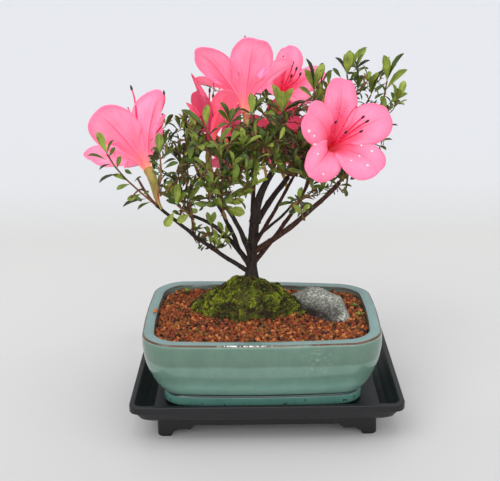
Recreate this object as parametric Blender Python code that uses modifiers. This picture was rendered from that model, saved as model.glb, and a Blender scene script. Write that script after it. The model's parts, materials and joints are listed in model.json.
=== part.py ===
"""A flowering azalea bonsai in a glazed pot, which stands in a moulded drip tray.

Metres, +Z up. Places are measured from the middle of the pot, at the level of the table.
Headings are degrees round from +X (90 is the back), and rises are degrees above the level.
"""
import math
from collections import namedtuple

import bmesh
import bpy
import numpy as np
from mathutils import Euler, Vector
from mathutils.bvhtree import BVHTree

# Driving dimensions
PLACE = (0.0095, -0.0202, 0.0)     # where the pot's middle goes, so that the whole part is centred
GAP = 0.0003                      # air between two pieces that touch
SPACE_FOOT = 0.001                # how far a limb's cutter runs down past its foot

TRAY_LENGTH = 0.1752
TRAY_WIDTH = 0.1348
TRAY_SHIFT = (0.0025, 0.0019)     # the tray's middle, seen from the pot's
TRAY_TOP = 0.0295
TRAY_FLOOR = 0.0202
APRON_LENGTH = 0.1436
APRON_WIDTH = 0.0988
APRON_FOOT = 0.0075               # height of the arch between the feet
APRON_WALL = 0.003

POT_LENGTH = 0.152
POT_WIDTH = 0.1125
POT_HEIGHT = 0.048
POT_BULGE = 0.0037                # how far the middle of each side bows out
POT_SKEW = 0.118                  # how far the back runs out of square, as a share of the half width
POT_WALL = 0.0078
POT_BASE = 0.006

SOIL_DROP = 0.0025                # soil below the pot's rim
CRUMB_SPACING = 0.0115            # from one of the bed's larger crumbs to the next
CRUMB_SHIFT = 0.20                # how far each lies off that spacing, as a share of it
CRUMB_HALF = 0.0024               # half a crumb's width
CRUMB_HEIGHT = 0.0012             # how far it stands out of the bed
CRUMB_SUNK = 0.0010               # and how far it is sunk in it
MOUND_PLACE = (-0.009, 0.0105)
MOUND_SIZE = (0.041, 0.0245, 0.0215)
MOUND_SLOPE = 2.0                 # 1 gives the mound round shoulders, and more gives it a hill's slopes
ROCK_PLACE = (0.0405, 0.010)
ROCK_SIZE = (0.0255, 0.0150, 0.0115)
ROCK_HEADING = -48.0

LEAF_LENGTH = 0.0180
LEAF_WIDTH = 0.0084
LEAF_THICKNESS = 0.0011
WHORL = 4                         # leaves round each twig's tip
WHORL_STEP = 0.0015               # and how far apart they leave it
GOLDEN = 137.5                    # degrees round the twig from one leaf to the next
LOWER_LEAVES = ((0.60, 62, 70), (0.38, 66, 250))   # share of the twig, spread and turn of the leaves below
STEM_START = 0.0015               # how far a mass's stem runs straight on from its bough
TWIG_THICK = 0.0011
TWIG_THIN = 0.0006

PETAL_THICKNESS = 0.0009
LOBE_SAMPLES = 5                  # points round each lobe of a bloom
NOTCH = 0.80                      # how far out the notch between two lobes lies, as a share of their length
SHOULDER = 0.97                   # and the rim between the notch and a lobe's tip
CALYX_LENGTH = 0.0035
CALYX_RADIUS = 0.0036
STALK_THICK = 0.0011
STALK_THIN = 0.0009

# Worked out from them
POT_FOOT = TRAY_FLOOR + GAP
POT_TOP = POT_FOOT + POT_HEIGHT
SOIL_TOP = POT_TOP - SOIL_DROP
ON_SOIL = SOIL_TOP + GAP

# A limb leaves its parent at a share of the parent's length and bends evenly to its end heading and rise
Limb = namedtuple("Limb", "parent along heading rise heading_end rise_end length thick thin meets")
TRUNK_FOOT = (-0.0075, 0.0045, ON_SOIL)
TRUNK = Limb(None, 0.0, -22, 90, -22, 83, 0.0648, 0.0037, 0.0026, ())
FLARE_REACH = 0.034               # how far up the trunk its foot spreads
FLARE_GROW = 1.7                  # how much wider it is at the ground, as a share of the trunk
FLARE_RIDGES = 0.18               # and how far its ridges stand out, as a share of that
BOUGHS = {
    "leader_left": Limb("trunk", 1.0, -22, 85, 0, 55, 0.0370, 0.0028, 0.0018, ()),
    "leader_right": Limb("trunk", 0.955, 31, 52, 35, 42, 0.0405, 0.0023, 0.0015, ("leader_left",)),
    "bough_right_low": Limb("trunk", 0.665, -22, 34, 11, 46, 0.0770, 0.0020, 0.0014, ()),
    "bough_right_rise": Limb("trunk", 0.515, 33, 42, -25, 67, 0.0717, 0.0016, 0.0011, ()),
    "bough_right_back": Limb("trunk", 0.72, 63, 24, 51, 45, 0.0638, 0.0015, 0.0011, ("bough_right_low",)),
    "bough_front": Limb("trunk", 0.82, -56, 31, -55, 42, 0.0531, 0.0010, 0.0008, ()),
    "bough_left_low": Limb("trunk", 0.44, 196, 36, 200, 45, 0.0826, 0.0021, 0.0010, ()),
    "bough_left_back": Limb("trunk", 0.50, 146, 53, 138, 1, 0.0640, 0.0019, 0.0010, ("bough_left_low",)),
    "bough_left_front": Limb("trunk", 0.58, 247, 62, 235, 47, 0.0582, 0.0018, 0.0013,
                             ("bough_left_low", "bough_left_back")),
    "bough_left_rise": Limb("bough_left_back", 0.24, 250, 61, 201, 58, 0.0606, 0.0015, 0.0010, ()),
    "bough_left_spur": Limb("bough_left_back", 0.42, 205, 8, 190, 30, 0.0120, 0.0009, 0.0007, ()),
    "bough_back": Limb("trunk", 0.78, 92, 40, 80, 56, 0.0640, 0.0017, 0.0012, ()),
}

# A mass grows from its bough's tip inside an egg-shaped space, and its shoots are the tips that stand out
Mass = namedtuple("Mass", "bough centre size shoots tips seed")
MASSES = {
    "foliage_top": Mass("leader_left", (0.002, -0.014, 0.197), (0.028, 0.022, 0.026), (
        (0.015, -0.014, 0.213), (-0.004, -0.024, 0.212), (-0.012, -0.020, 0.198)), 6, 11),
    "foliage_top_back": Mass("leader_right", (0.026, 0.030, 0.192), (0.026, 0.022, 0.036), (
        (0.034, 0.026, 0.222),), 5, 12),
    "foliage_right": Mass("bough_right_low", (0.066, 0.014, 0.199), (0.034, 0.024, 0.050), (
        (0.056, 0.008, 0.235), (0.085, 0.010, 0.228), (0.073, 0.012, 0.214), (0.089, 0.012, 0.195),
        (0.060, 0.001, 0.160)), 6, 13),
    "foliage_right_inner": Mass("bough_right_rise", (0.026, 0.004, 0.190), (0.023, 0.022, 0.037), (
        (0.034, 0.014, 0.219), (0.026, -0.004, 0.204), (0.021, -0.010, 0.186)), 6, 14),
    "foliage_right_back": Mass("bough_right_back", (0.043, 0.056, 0.168), (0.030, 0.026, 0.034), (
        (0.062, 0.058, 0.182),), 6, 15),
    "foliage_front": Mass("bough_front", (0.026, -0.038, 0.157), (0.015, 0.013, 0.013), (), 6, 16),
    "foliage_left": Mass("bough_left_low", (-0.081, -0.017, 0.172), (0.033, 0.021, 0.032), (
        (-0.097, -0.023, 0.187), (-0.063, -0.023, 0.190), (-0.080, -0.022, 0.160),
        (-0.058, -0.024, 0.178)), 6, 17),
    "foliage_left_rise": Mass("bough_left_rise", (-0.046, -0.014, 0.188), (0.021, 0.021, 0.025), (
        (-0.056, -0.017, 0.193), (-0.050, -0.013, 0.201), (-0.041, -0.024, 0.186)), 6, 18),
    "foliage_left_front": Mass("bough_left_front", (-0.021, -0.038, 0.184), (0.021, 0.018, 0.034), (
        (-0.032, -0.040, 0.204), (-0.018, -0.034, 0.209), (-0.029, -0.044, 0.178),
        (-0.013, -0.041, 0.186), (-0.015, -0.042, 0.166)), 5, 19),
    "foliage_left_back": Mass("bough_left_back", (-0.050, 0.040, 0.160), (0.032, 0.025, 0.040), (
        (-0.061, 0.036, 0.146), (-0.050, 0.034, 0.134)), 7, 20),
    "foliage_left_low": Mass("bough_left_spur", (-0.034, 0.002, 0.119), (0.015, 0.012, 0.012), (), 5, 21),
    "foliage_back": Mass("bough_back", (-0.013, 0.062, 0.184), (0.032, 0.025, 0.038), (
        (-0.020, 0.058, 0.214),), 6, 22),
}

# A bloom's stalk leaves a limb at a share of its length. Its mouth faces a heading and a rise, length is from
# its base to its mouth, turn is where the first lobe lies round the axis, and reach is each lobe's own share
# of the radius
Bloom = namedtuple("Bloom", "parent along base heading rise turn length radius reach")
BLOOMS = {
    "bloom_right": Bloom("bough_right_rise", 0.86, (0.0393, 0.0078, 0.1745), -62, 32, -138, 0.0461, 0.0346,
                         (1.24, 0.97, 1.01, 0.91, 0.89)),
    "bloom_left": Bloom("bough_left_low", 0.95, (-0.0708, -0.0083, 0.1691), 122, 40, -85, 0.0377, 0.0357,
                        (0.62, 1.03, 1.01, 1.00, 0.90)),
    "bloom_top": Bloom("leader_left", 0.78, (-0.0082, -0.0080, 0.2053), 100, 50, 60, 0.0353, 0.0344,
                       (1.04, 0.80, 0.75, 1.00, 0.98)),
    "bloom_inner": Bloom("bough_left_front", 0.93, (-0.0317, -0.0092, 0.1838), 143, 82, 68, 0.0311, 0.0217,
                         (1.01, 0.60, 0.80, 0.80, 1.04)),
    "bloom_top_back": Bloom("bough_back", 0.84, (0.0136, 0.0701, 0.1977), -80, 48, 91, 0.0343, 0.0292,
                            (1.00, 1.03, 0.55, 0.70, 0.93)),
    "bloom_back": Bloom("bough_right_back", 0.86, (0.0150, 0.0600, 0.1600), 84, 22, 0, 0.0370, 0.0304,
                        (1.00, 1.00, 1.00, 1.00, 1.00)),
    "bloom_back_left": Bloom("bough_back", 0.55, (-0.0160, 0.0360, 0.1570), 152, 24, 0, 0.0340, 0.0270,
                             (1.00, 1.00, 1.00, 1.00, 1.00)),
}
# Distance along a bloom's wall from its base, with the place there along its axis and out from it
COROLLA = ((0.00, 0.00, 0.07), (0.25, 0.36, 0.12), (0.50, 0.68, 0.31), (0.75, 0.89, 0.63), (1.00, 1.00, 1.00))

# How far out of its mass's space a thing may reach, as a share of the mass's size
TWIG_EDGE = 1.1
LEAF_EDGE = 1.4
SPACE_CLEAR = 0.04                # and the share that is kept between two masses


def start_scene(name):
    """Empties the scene and makes the collections for the parts and for the cutters."""
    for obj in list(bpy.data.objects):
        bpy.data.objects.remove(obj, do_unlink=True)
    collections = []
    for title in (name, "cutters"):
        collection = bpy.data.collections.new(title)
        bpy.context.scene.collection.children.link(collection)
        collections.append(collection)
    return collections


PARTS, CUTTERS = start_scene("azalea_bonsai")
HOME = bpy.data.objects.new("azalea_place", None)
HOME.location = PLACE
PARTS.objects.link(HOME)


def material(name, colour, roughness, coat=0.0):
    """A plain Principled material."""
    made = bpy.data.materials.new(name)
    made.use_nodes = True
    shader = made.node_tree.nodes["Principled BSDF"]
    shader.inputs["Base Color"].default_value = (*colour, 1.0)
    shader.inputs["Roughness"].default_value = roughness
    shader.inputs["Coat Weight"].default_value = coat
    made.diffuse_color = (*colour, 1.0)
    return made


TRAY_PLASTIC = material("tray_plastic", (0.012, 0.014, 0.020), 0.45)
GLAZE = material("celadon_glaze", (0.17, 0.33, 0.27), 0.18, 0.6)
GRIT = material("red_grit", (0.33, 0.10, 0.055), 0.9)
MOSS = material("moss", (0.07, 0.11, 0.015), 0.95)
STONE = material("stone", (0.16, 0.18, 0.19), 0.8)
BARK = material("bark", (0.060, 0.032, 0.024), 0.85)
LEAF = material("leaf", (0.09, 0.20, 0.03), 0.5)
PETAL = material("petal", (0.85, 0.16, 0.27), 0.5)


def add_object(name, mesh, finish, collection=PARTS):
    """Puts a mesh in the scene under the common place."""
    mesh.materials.clear()
    mesh.materials.append(finish)
    obj = bpy.data.objects.new(name, mesh)
    obj.parent = HOME
    collection.objects.link(obj)
    if collection is CUTTERS:
        obj.hide_render = True
        obj.display_type = "WIRE"
    return obj


def mesh_from(name, bm):
    """Closes a bmesh with its faces pointing out and makes it a mesh."""
    bmesh.ops.recalc_face_normals(bm, faces=bm.faces)
    mesh = bpy.data.meshes.new(name)
    bm.to_mesh(mesh)
    bm.free()
    return mesh


def loft(name, rings):
    """A closed skin over rings of equal count, with a flat cap on the first and the last."""
    bm = bmesh.new()
    loops = []
    for ring in rings:
        loops.append([bm.verts.new(tuple(point)) for point in ring])
    for low, high in zip(loops, loops[1:]):
        for k in range(len(low)):
            j = (k + 1) % len(low)
            bm.faces.new((low[k], low[j], high[j], high[k]))
    bm.faces.new(loops[0])
    bm.faces.new(loops[-1])
    return mesh_from(name, bm)


def rounded_ring(half_x, half_y, corner, z, side_points=0, bulge=0.0, skew=0.0, shift=(0.0, 0.0)):
    """Points round a rectangle with round corners, whose sides may bow out and whose back may be skewed."""
    points = []
    for quarter, (sx, sy) in enumerate(((1, 1), (-1, 1), (-1, -1), (1, -1))):
        for step in range(5):
            turn = math.radians(90 * quarter + 22.5 * step)
            points.append((sx * (half_x - corner) + corner * math.cos(turn),
                           sy * (half_y - corner) + corner * math.sin(turn)))
        if side_points:
            x0, y0 = points[-1]
            to_x, to_y = ((-1, 1), (-1, -1), (1, -1), (1, 1))[quarter]
            x1 = x0 if quarter in (1, 3) else to_x * (half_x - corner)
            y1 = y0 if quarter in (0, 2) else to_y * (half_y - corner)
            for step in range(1, side_points + 1):
                share = step / (side_points + 1)
                points.append((x0 + (x1 - x0) * share, y0 + (y1 - y0) * share))
    ring = []
    for x, y in points:
        across = x / half_x
        along = y / half_y
        bow_y = bulge * (1 - across * across) * along
        bow_x = 0.7 * bulge * (1 - along * along) * across
        back = 1 - skew * across if y > 0 else 1.0
        ring.append((x + bow_x + shift[0], y * back + bow_y + shift[1], z))
    return ring


def smooth(obj, angle=35.0):
    """Shades an object smooth, with its edges kept where they turn by more than the angle."""
    obj.data.shade_smooth()
    obj.data.set_sharp_from_angle(angle=math.radians(angle))


def main_body(mesh):
    """Keeps the largest closed body of a mesh, so that no loose scrap or sealed hollow is left."""
    bm = bmesh.new()
    bm.from_mesh(mesh)
    bmesh.ops.triangulate(bm, faces=bm.faces)
    bmesh.ops.dissolve_degenerate(bm, dist=2e-6, edges=bm.edges)
    left = set(bm.verts)
    bodies = []
    while left:
        stack = [left.pop()]
        body = set(stack)
        while stack:
            for edge in stack.pop().link_edges:
                for vert in edge.verts:
                    if vert not in body:
                        body.add(vert)
                        stack.append(vert)
        left -= body
        bodies.append(body)
    keep = max(bodies, key=len)
    bmesh.ops.delete(bm, geom=[v for v in bm.verts if v not in keep], context="VERTS")
    bm.to_mesh(mesh)
    bm.free()
    return len(bodies)


def apply_modifiers(obj):
    """Replaces an object's mesh by the mesh that its modifiers make."""
    bpy.context.view_layer.update()
    evaluated = obj.evaluated_get(bpy.context.evaluated_depsgraph_get())
    mesh = bpy.data.meshes.new_from_object(evaluated)
    mesh.name = obj.name
    obj.modifiers.clear()
    obj.data = mesh
    return main_body(mesh)


def cut(obj, cutters):
    """Takes each cutter's shape out of an object."""
    for cutter in cutters:
        step = obj.modifiers.new("cut", "BOOLEAN")
        step.operation = "DIFFERENCE"
        step.object = cutter
    if cutters:
        apply_modifiers(obj)


def unite(obj, pieces):
    """Fuses a collection of pieces into an object and removes them."""
    step = obj.modifiers.new("fuse", "BOOLEAN")
    step.operation = "UNION"
    step.operand_type = "COLLECTION"
    step.collection = pieces
    apply_modifiers(obj)
    for piece in list(pieces.objects):
        bpy.data.objects.remove(piece, do_unlink=True)
    bpy.data.collections.remove(pieces)


def make_tray():
    """The drip tray: a shallow pan with a flanged rim over a low apron with a foot at each corner."""
    half_x, half_y = TRAY_LENGTH / 2, TRAY_WIDTH / 2
    profile = (  # inset from the flange, corner radius, height
        (0.0103, 0.0040, 0.0155), (0.0060, 0.0050, 0.0185), (0.0035, 0.0055, 0.0225),
        (0.0022, 0.0060, 0.0248), (0.0000, 0.0070, 0.0248), (0.0000, 0.0070, TRAY_TOP),
        (0.0033, 0.0045, TRAY_TOP), (0.0060, 0.0040, 0.0262), (0.0100, 0.0035, 0.0225),
        (0.0141, 0.0030, TRAY_FLOOR))
    rings = []
    for inset, corner, z in profile:
        rings.append(rounded_ring(half_x - inset, half_y - inset, corner, z, shift=TRAY_SHIFT))
    tray = add_object("tray", loft("tray", rings), TRAY_PLASTIC)
    long, wide = APRON_LENGTH / 2, APRON_WIDTH / 2
    apron = add_object("apron", loft("apron", [
        rounded_ring(long, wide, 0.004, z, shift=TRAY_SHIFT) for z in (0.0, 0.0165)]), TRAY_PLASTIC)
    inside = add_object("apron_inside", loft("apron_inside", [
        rounded_ring(long - APRON_WALL, wide - APRON_WALL, 0.002, z, shift=TRAY_SHIFT)
        for z in (-0.01, 0.0155)]), TRAY_PLASTIC, CUTTERS)
    # Half the arch between two feet: distance in from the apron's end, and height
    arch = ((0.0088, -0.001), (0.0105, 0.0032), (0.0140, 0.0046), (0.0215, 0.0046), (0.0248, APRON_FOOT))
    arches = []
    for name, half, across in (("arch_front", long, 0), ("arch_side", wide, 1)):
        outline = [(half - inset, z) for inset, z in arch]
        outline += [(-x, z) for x, z in reversed(outline)]
        rings = []
        for reach in (-0.1, 0.1):
            ring = []
            for x, z in outline:
                place = (reach, x, z) if across else (x, reach, z)
                ring.append((place[0] + TRAY_SHIFT[0], place[1] + TRAY_SHIFT[1], z))
            rings.append(ring)
        arches.append(add_object(name, loft(name, rings), TRAY_PLASTIC, CUTTERS))
    cut(apron, [inside] + arches)
    joined = bpy.data.collections.new("tray_pieces")
    joined.objects.link(apron)
    unite(tray, joined)
    smooth(tray, 25)


def pot_ring(half_x, corner, z):
    """One level of the pot: the width follows the length, and the foot is straighter than the rim."""
    half_y = half_x - (POT_LENGTH - POT_WIDTH) / 2
    return rounded_ring(half_x, half_y, corner, z, side_points=4, bulge=POT_BULGE, skew=POT_SKEW)


def make_pot():
    """The glazed pot: bowed sides that draw in to a short foot, and a broad flat rim."""
    half = POT_LENGTH / 2
    outside = (  # inset from the rim, corner radius, depth below the rim
        (0.0125, 0.012, 0.0480), (0.0118, 0.013, 0.0435), (0.0098, 0.014, 0.0403), (0.0060, 0.016, 0.0315),
        (0.0024, 0.018, 0.0220), (0.0005, 0.020, 0.0125), (0.0000, 0.020, 0.0065), (0.0005, 0.020, 0.0018),
        (0.0020, 0.019, 0.0))
    inside = (
        (POT_WALL - 0.0014, 0.0145, 0.0002), (POT_WALL, 0.014, 0.0016), (POT_WALL + 0.0012, 0.013, 0.0150),
        (POT_WALL + 0.0130, 0.008, POT_HEIGHT - POT_BASE))
    rings = [pot_ring(half - inset, corner, POT_TOP - depth) for inset, corner, depth in outside + inside]
    smooth(add_object("pot", loft("pot", rings), GLAZE), 40)


def inside(ring, x, y, margin):
    """Whether a place lies inside a ring that turns left all round, and a margin clear of its sides."""
    for (x0, y0, _), (x1, y1, _) in zip(ring, ring[1:] + ring[:1]):
        long = math.hypot(x1 - x0, y1 - y0)
        if long > 1e-9 and (x1 - x0) * (y - y0) - (y1 - y0) * (x - x0) < margin * long:
            return False
    return True


def under(x, y, place, size, turn, margin):
    """Whether a place lies under an egg-shaped foot, or nearer to it than a margin."""
    dx, dy = x - place[0], y - place[1]
    along = dx * math.cos(turn) + dy * math.sin(turn)
    aside = dy * math.cos(turn) - dx * math.sin(turn)
    return (along / (size[0] + margin)) ** 2 + (aside / (size[1] + margin)) ** 2 < 1


def crumb_places(ring, rng):
    """Places for the larger crumbs, on a lattice of triangles, clear of the mound and the stone."""
    places = []
    row_step = CRUMB_SPACING * math.sqrt(3) / 2
    columns, rows = int(POT_LENGTH / CRUMB_SPACING), int(POT_WIDTH / row_step)
    for row in range(rows + 1):
        for column in range(columns + 1):
            shift = rng.uniform(-CRUMB_SHIFT, CRUMB_SHIFT, 2) * CRUMB_SPACING
            x = (column - columns / 2 + 0.5 * (row % 2)) * CRUMB_SPACING + shift[0]
            y = (row - rows / 2) * row_step + shift[1]
            clear = CRUMB_HALF + 0.0004
            if not inside(ring, x, y, clear):
                continue
            if under(x, y, MOUND_PLACE, MOUND_SIZE, 0.0, clear + 0.003):
                continue
            if not under(x, y, ROCK_PLACE, ROCK_SIZE, math.radians(ROCK_HEADING), clear):
                places.append((x, y))
    return places


def make_crumb(name, x, y, rng):
    """One larger crumb of the grit: a stub of a cone with five sides, turned and tilted a little."""
    bm = bmesh.new()
    bmesh.ops.create_cone(bm, cap_ends=True, segments=5, radius1=CRUMB_HALF, radius2=CRUMB_HALF * 0.55,
                          depth=CRUMB_HEIGHT + CRUMB_SUNK)
    tilt = Euler((rng.uniform(-0.2, 0.2), rng.uniform(-0.2, 0.2), rng.uniform(0, 2 * math.pi)))
    middle = Vector((x, y, SOIL_TOP + (CRUMB_HEIGHT - CRUMB_SUNK) / 2))
    for vert in bm.verts:
        vert.co = tilt.to_matrix() @ vert.co + middle
    return bpy.data.objects.new(name, mesh_from(name, bm))


def make_grit():
    """The bed of grit that fills the pot, with the larger of its crumbs standing out of it."""
    half = POT_LENGTH / 2 - GAP * 1.3
    levels = (
        (POT_WALL + 0.0130, 0.008, POT_HEIGHT - POT_BASE - GAP),
        (POT_WALL + 0.0012, 0.013, 0.0150), (POT_WALL + 0.0002, 0.014, SOIL_DROP + 0.0006))
    rings = [pot_ring(half - inset, corner, POT_TOP - depth) for inset, corner, depth in levels]
    rings.append(pot_ring(half - POT_WALL - 0.006, 0.010, SOIL_TOP))
    grit = add_object("grit", loft("grit", rings), GRIT)
    rng = np.random.default_rng(3)
    crumbs = bpy.data.collections.new("crumbs")
    for index, (x, y) in enumerate(crumb_places(rings[-1], rng)):
        crumb = make_crumb(f"crumb_{index}", x, y, rng)
        crumb.parent = HOME
        crumbs.objects.link(crumb)
    unite(grit, crumbs)
    smooth(grit, 30)


def make_rock(name="rock", swell=0.0, collection=PARTS):
    """The grey stone on the grit, a ball cut by slanting planes to broken faces."""
    bm = bmesh.new()
    bmesh.ops.create_icosphere(bm, subdivisions=2, radius=1.0)
    facets = (  # heading, rise and distance of each broken face
        (20, 62, 0.78), (200, 50, 0.80), (285, 35, 0.76), (100, 30, 0.80), (150, 75, 0.86), (330, 20, 0.86),
        (240, 12, 0.84), (60, 8, 0.86))
    for heading, rise, reach in facets:
        normal = Vector(direction(heading, rise))
        bmesh.ops.bisect_plane(bm, geom=bm.verts[:] + bm.edges[:] + bm.faces[:], plane_co=normal * reach,
                               plane_no=normal, clear_outer=True)
        bmesh.ops.holes_fill(bm, edges=[e for e in bm.edges if e.is_boundary])
    turn = math.radians(ROCK_HEADING)
    for vert in bm.verts:
        x, y, z = vert.co.x * (ROCK_SIZE[0] + swell), vert.co.y * (ROCK_SIZE[1] + swell), vert.co.z
        vert.co = (ROCK_PLACE[0] + x * math.cos(turn) - y * math.sin(turn),
                   ROCK_PLACE[1] + x * math.sin(turn) + y * math.cos(turn),
                   ON_SOIL + z * (ROCK_SIZE[2] + swell) * 1.2)
    bottom = ON_SOIL - (SPACE_FOOT if swell else 0.0)
    bmesh.ops.bisect_plane(bm, geom=bm.verts[:] + bm.edges[:] + bm.faces[:], plane_co=(0, 0, bottom),
                           plane_no=(0, 0, -1), clear_outer=True)
    bmesh.ops.holes_fill(bm, edges=[e for e in bm.edges if e.is_boundary])
    bmesh.ops.triangulate(bm, faces=bm.faces)
    return add_object(name, mesh_from(name, bm), STONE, collection)


def make_moss(trunk_space, rock_space):
    """The mossy mound round the trunk's foot, clear of the trunk and of the stone."""
    bm = bmesh.new()
    bmesh.ops.create_uvsphere(bm, u_segments=26, v_segments=12, radius=1.0)
    for vert in bm.verts:
        x, y, z = vert.co
        lumps = 0.045 * math.sin(7 * x + 2) * math.cos(6 * y + 1) + 0.04 * math.sin(11 * y - 9 * x)
        swell = 1.0 + lumps * (1.0 - abs(z))
        height = math.copysign(abs(z) ** MOUND_SLOPE, z)
        vert.co = (MOUND_PLACE[0] + x * swell * MOUND_SIZE[0], MOUND_PLACE[1] + y * swell * MOUND_SIZE[1],
                   ON_SOIL + height * (1 + lumps) * MOUND_SIZE[2])
    bmesh.ops.bisect_plane(bm, geom=bm.verts[:] + bm.edges[:] + bm.faces[:], plane_co=(0, 0, ON_SOIL),
                           plane_no=(0, 0, -1), clear_outer=True)
    bmesh.ops.holes_fill(bm, edges=[e for e in bm.edges if e.is_boundary])
    moss = add_object("moss", mesh_from("moss", bm), MOSS)
    cut(moss, [trunk_space, rock_space])
    smooth(moss, 60)


def direction(heading, rise):
    """The unit vector at a heading and a rise in degrees."""
    turn, lift = math.radians(heading), math.radians(rise)
    return np.array([math.cos(lift) * math.cos(turn), math.cos(lift) * math.sin(turn), math.sin(lift)])


def limb_path(foot, limb, steps=8):
    """Points of a limb whose heading and rise change evenly from its foot to its tip."""
    points = [np.array(foot, float)]
    for step in range(steps):
        share = (step + 0.5) / steps
        heading = limb.heading + (limb.heading_end - limb.heading) * share
        rise = limb.rise + (limb.rise_end - limb.rise) * share
        points.append(points[-1] + direction(heading, rise) * limb.length / steps)
    return np.array(points)


def point_along(path, share):
    """The point at a share of a path's length."""
    place = share * (len(path) - 1)
    index = min(int(place), len(path) - 2)
    return path[index] + (path[index + 1] - path[index]) * (place - index)


def curve_mesh(name, path, radii, resolution=1):
    """A round limb as a curve with a bevel and filled caps, made a mesh with its caps welded."""
    curve = bpy.data.curves.new(name, "CURVE")
    curve.dimensions = "3D"
    curve.bevel_depth = 1.0
    curve.bevel_resolution = resolution
    curve.use_fill_caps = True
    spline = curve.splines.new("POLY")
    spline.points.add(len(path) - 1)
    for point, place, radius in zip(spline.points, path, radii):
        point.co = (*place, 1.0)
        point.radius = radius
    obj = bpy.data.objects.new(name, curve)
    PARTS.objects.link(obj)
    bpy.context.view_layer.update()
    mesh = bpy.data.meshes.new_from_object(obj.evaluated_get(bpy.context.evaluated_depsgraph_get()))
    bpy.data.objects.remove(obj, do_unlink=True)
    bm = bmesh.new()
    bm.from_mesh(mesh)
    bmesh.ops.remove_doubles(bm, verts=bm.verts, dist=1e-6)
    bmesh.ops.recalc_face_normals(bm, faces=bm.faces)
    bm.to_mesh(mesh)
    bm.free()
    return mesh


def flare_foot(mesh):
    """Spreads the trunk's foot into five low ridges that run out to its roots."""
    foot = Vector(TRUNK_FOOT)
    for vert in mesh.vertices:
        low = max(0.0, 1.0 - (vert.co.z - foot.z) / FLARE_REACH) ** 1.2
        out = Vector((vert.co.x - foot.x, vert.co.y - foot.y, 0.0))
        turn = math.atan2(out.y, out.x)
        vert.co += out * low * FLARE_GROW * (1.0 + FLARE_RIDGES * math.cos(5 * turn))


def limb_radii(limb, count):
    """Radii that taper evenly, a little thicker at the foot, where the limb leaves its parent."""
    share = np.linspace(0.0, 1.0, count)
    collar = 0.22 * np.exp(-share * 12.0)
    return (limb.thick + (limb.thin - limb.thick) * share) * (1 + collar)


def make_limbs():
    """The trunk and the boughs, each cut clear of what it grows from."""
    limbs = {"trunk": TRUNK, **BOUGHS}
    paths, spaces = {}, {}
    for name, limb in limbs.items():
        foot = TRUNK_FOOT if limb.parent is None else point_along(paths[limb.parent], limb.along)
        from_tip = limb.parent is not None and limb.along >= 1.0
        if from_tip:
            foot = foot + direction(limb.heading, limb.rise) * GAP
        paths[name] = limb_path(foot, limb)
        radii = limb_radii(limb, len(paths[name]))
        resolution = 2 if name in ("trunk", "leader_left") else 1
        mesh = curve_mesh(name, paths[name], radii, resolution)
        room = paths[name].copy()
        if from_tip or limb.parent is None:
            room[0] -= direction(limb.heading, limb.rise) * SPACE_FOOT
        space = curve_mesh(name + "_space", room, radii + GAP * 1.15, resolution)
        if name == "trunk":
            flare_foot(mesh)
            flare_foot(space)
        obj = add_object(name, mesh, BARK)
        spaces[name] = add_object(name + "_space", space, BARK, CUTTERS)
        met = list(limb.meets) if from_tip or limb.parent is None else [limb.parent, *limb.meets]
        cut(obj, [spaces[other] for other in met])
        smooth(obj, 50)
    return paths, spaces


def axes_round(axis):
    """Two unit vectors square to an axis: the one that points up most, and the one to its side."""
    up = np.array([0.0, 0.0, 1.0]) - axis * axis[2]
    if np.linalg.norm(up) < 0.05:
        up = np.array([1.0, 0.0, 0.0]) - axis * axis[0]
    up /= np.linalg.norm(up)
    return up, np.cross(up, axis)


def bezier(start, pull_start, pull_end, end, steps):
    """Points of a curve that leaves its start and reaches its end by way of two pulls."""
    share = np.linspace(0.0, 1.0, steps + 1)[:, None]
    rest = 1 - share
    return (rest ** 3 * start + 3 * rest ** 2 * share * pull_start + 3 * rest * share ** 2 * pull_end
            + share ** 3 * end)


def bloom_ways(bloom):
    """A bloom's base, its axis and the ways out from the axis to its lobes' tips."""
    axis = direction(bloom.heading, bloom.rise)
    up, side = axes_round(axis)
    turns = np.radians(bloom.turn + 360 / len(bloom.reach) * np.arange(len(bloom.reach)))[:, None]
    ways = (up * np.cos(turns) + side * np.sin(turns)) * bloom.radius * np.array(bloom.reach)[:, None]
    return np.array(bloom.base), axis, ways


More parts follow.
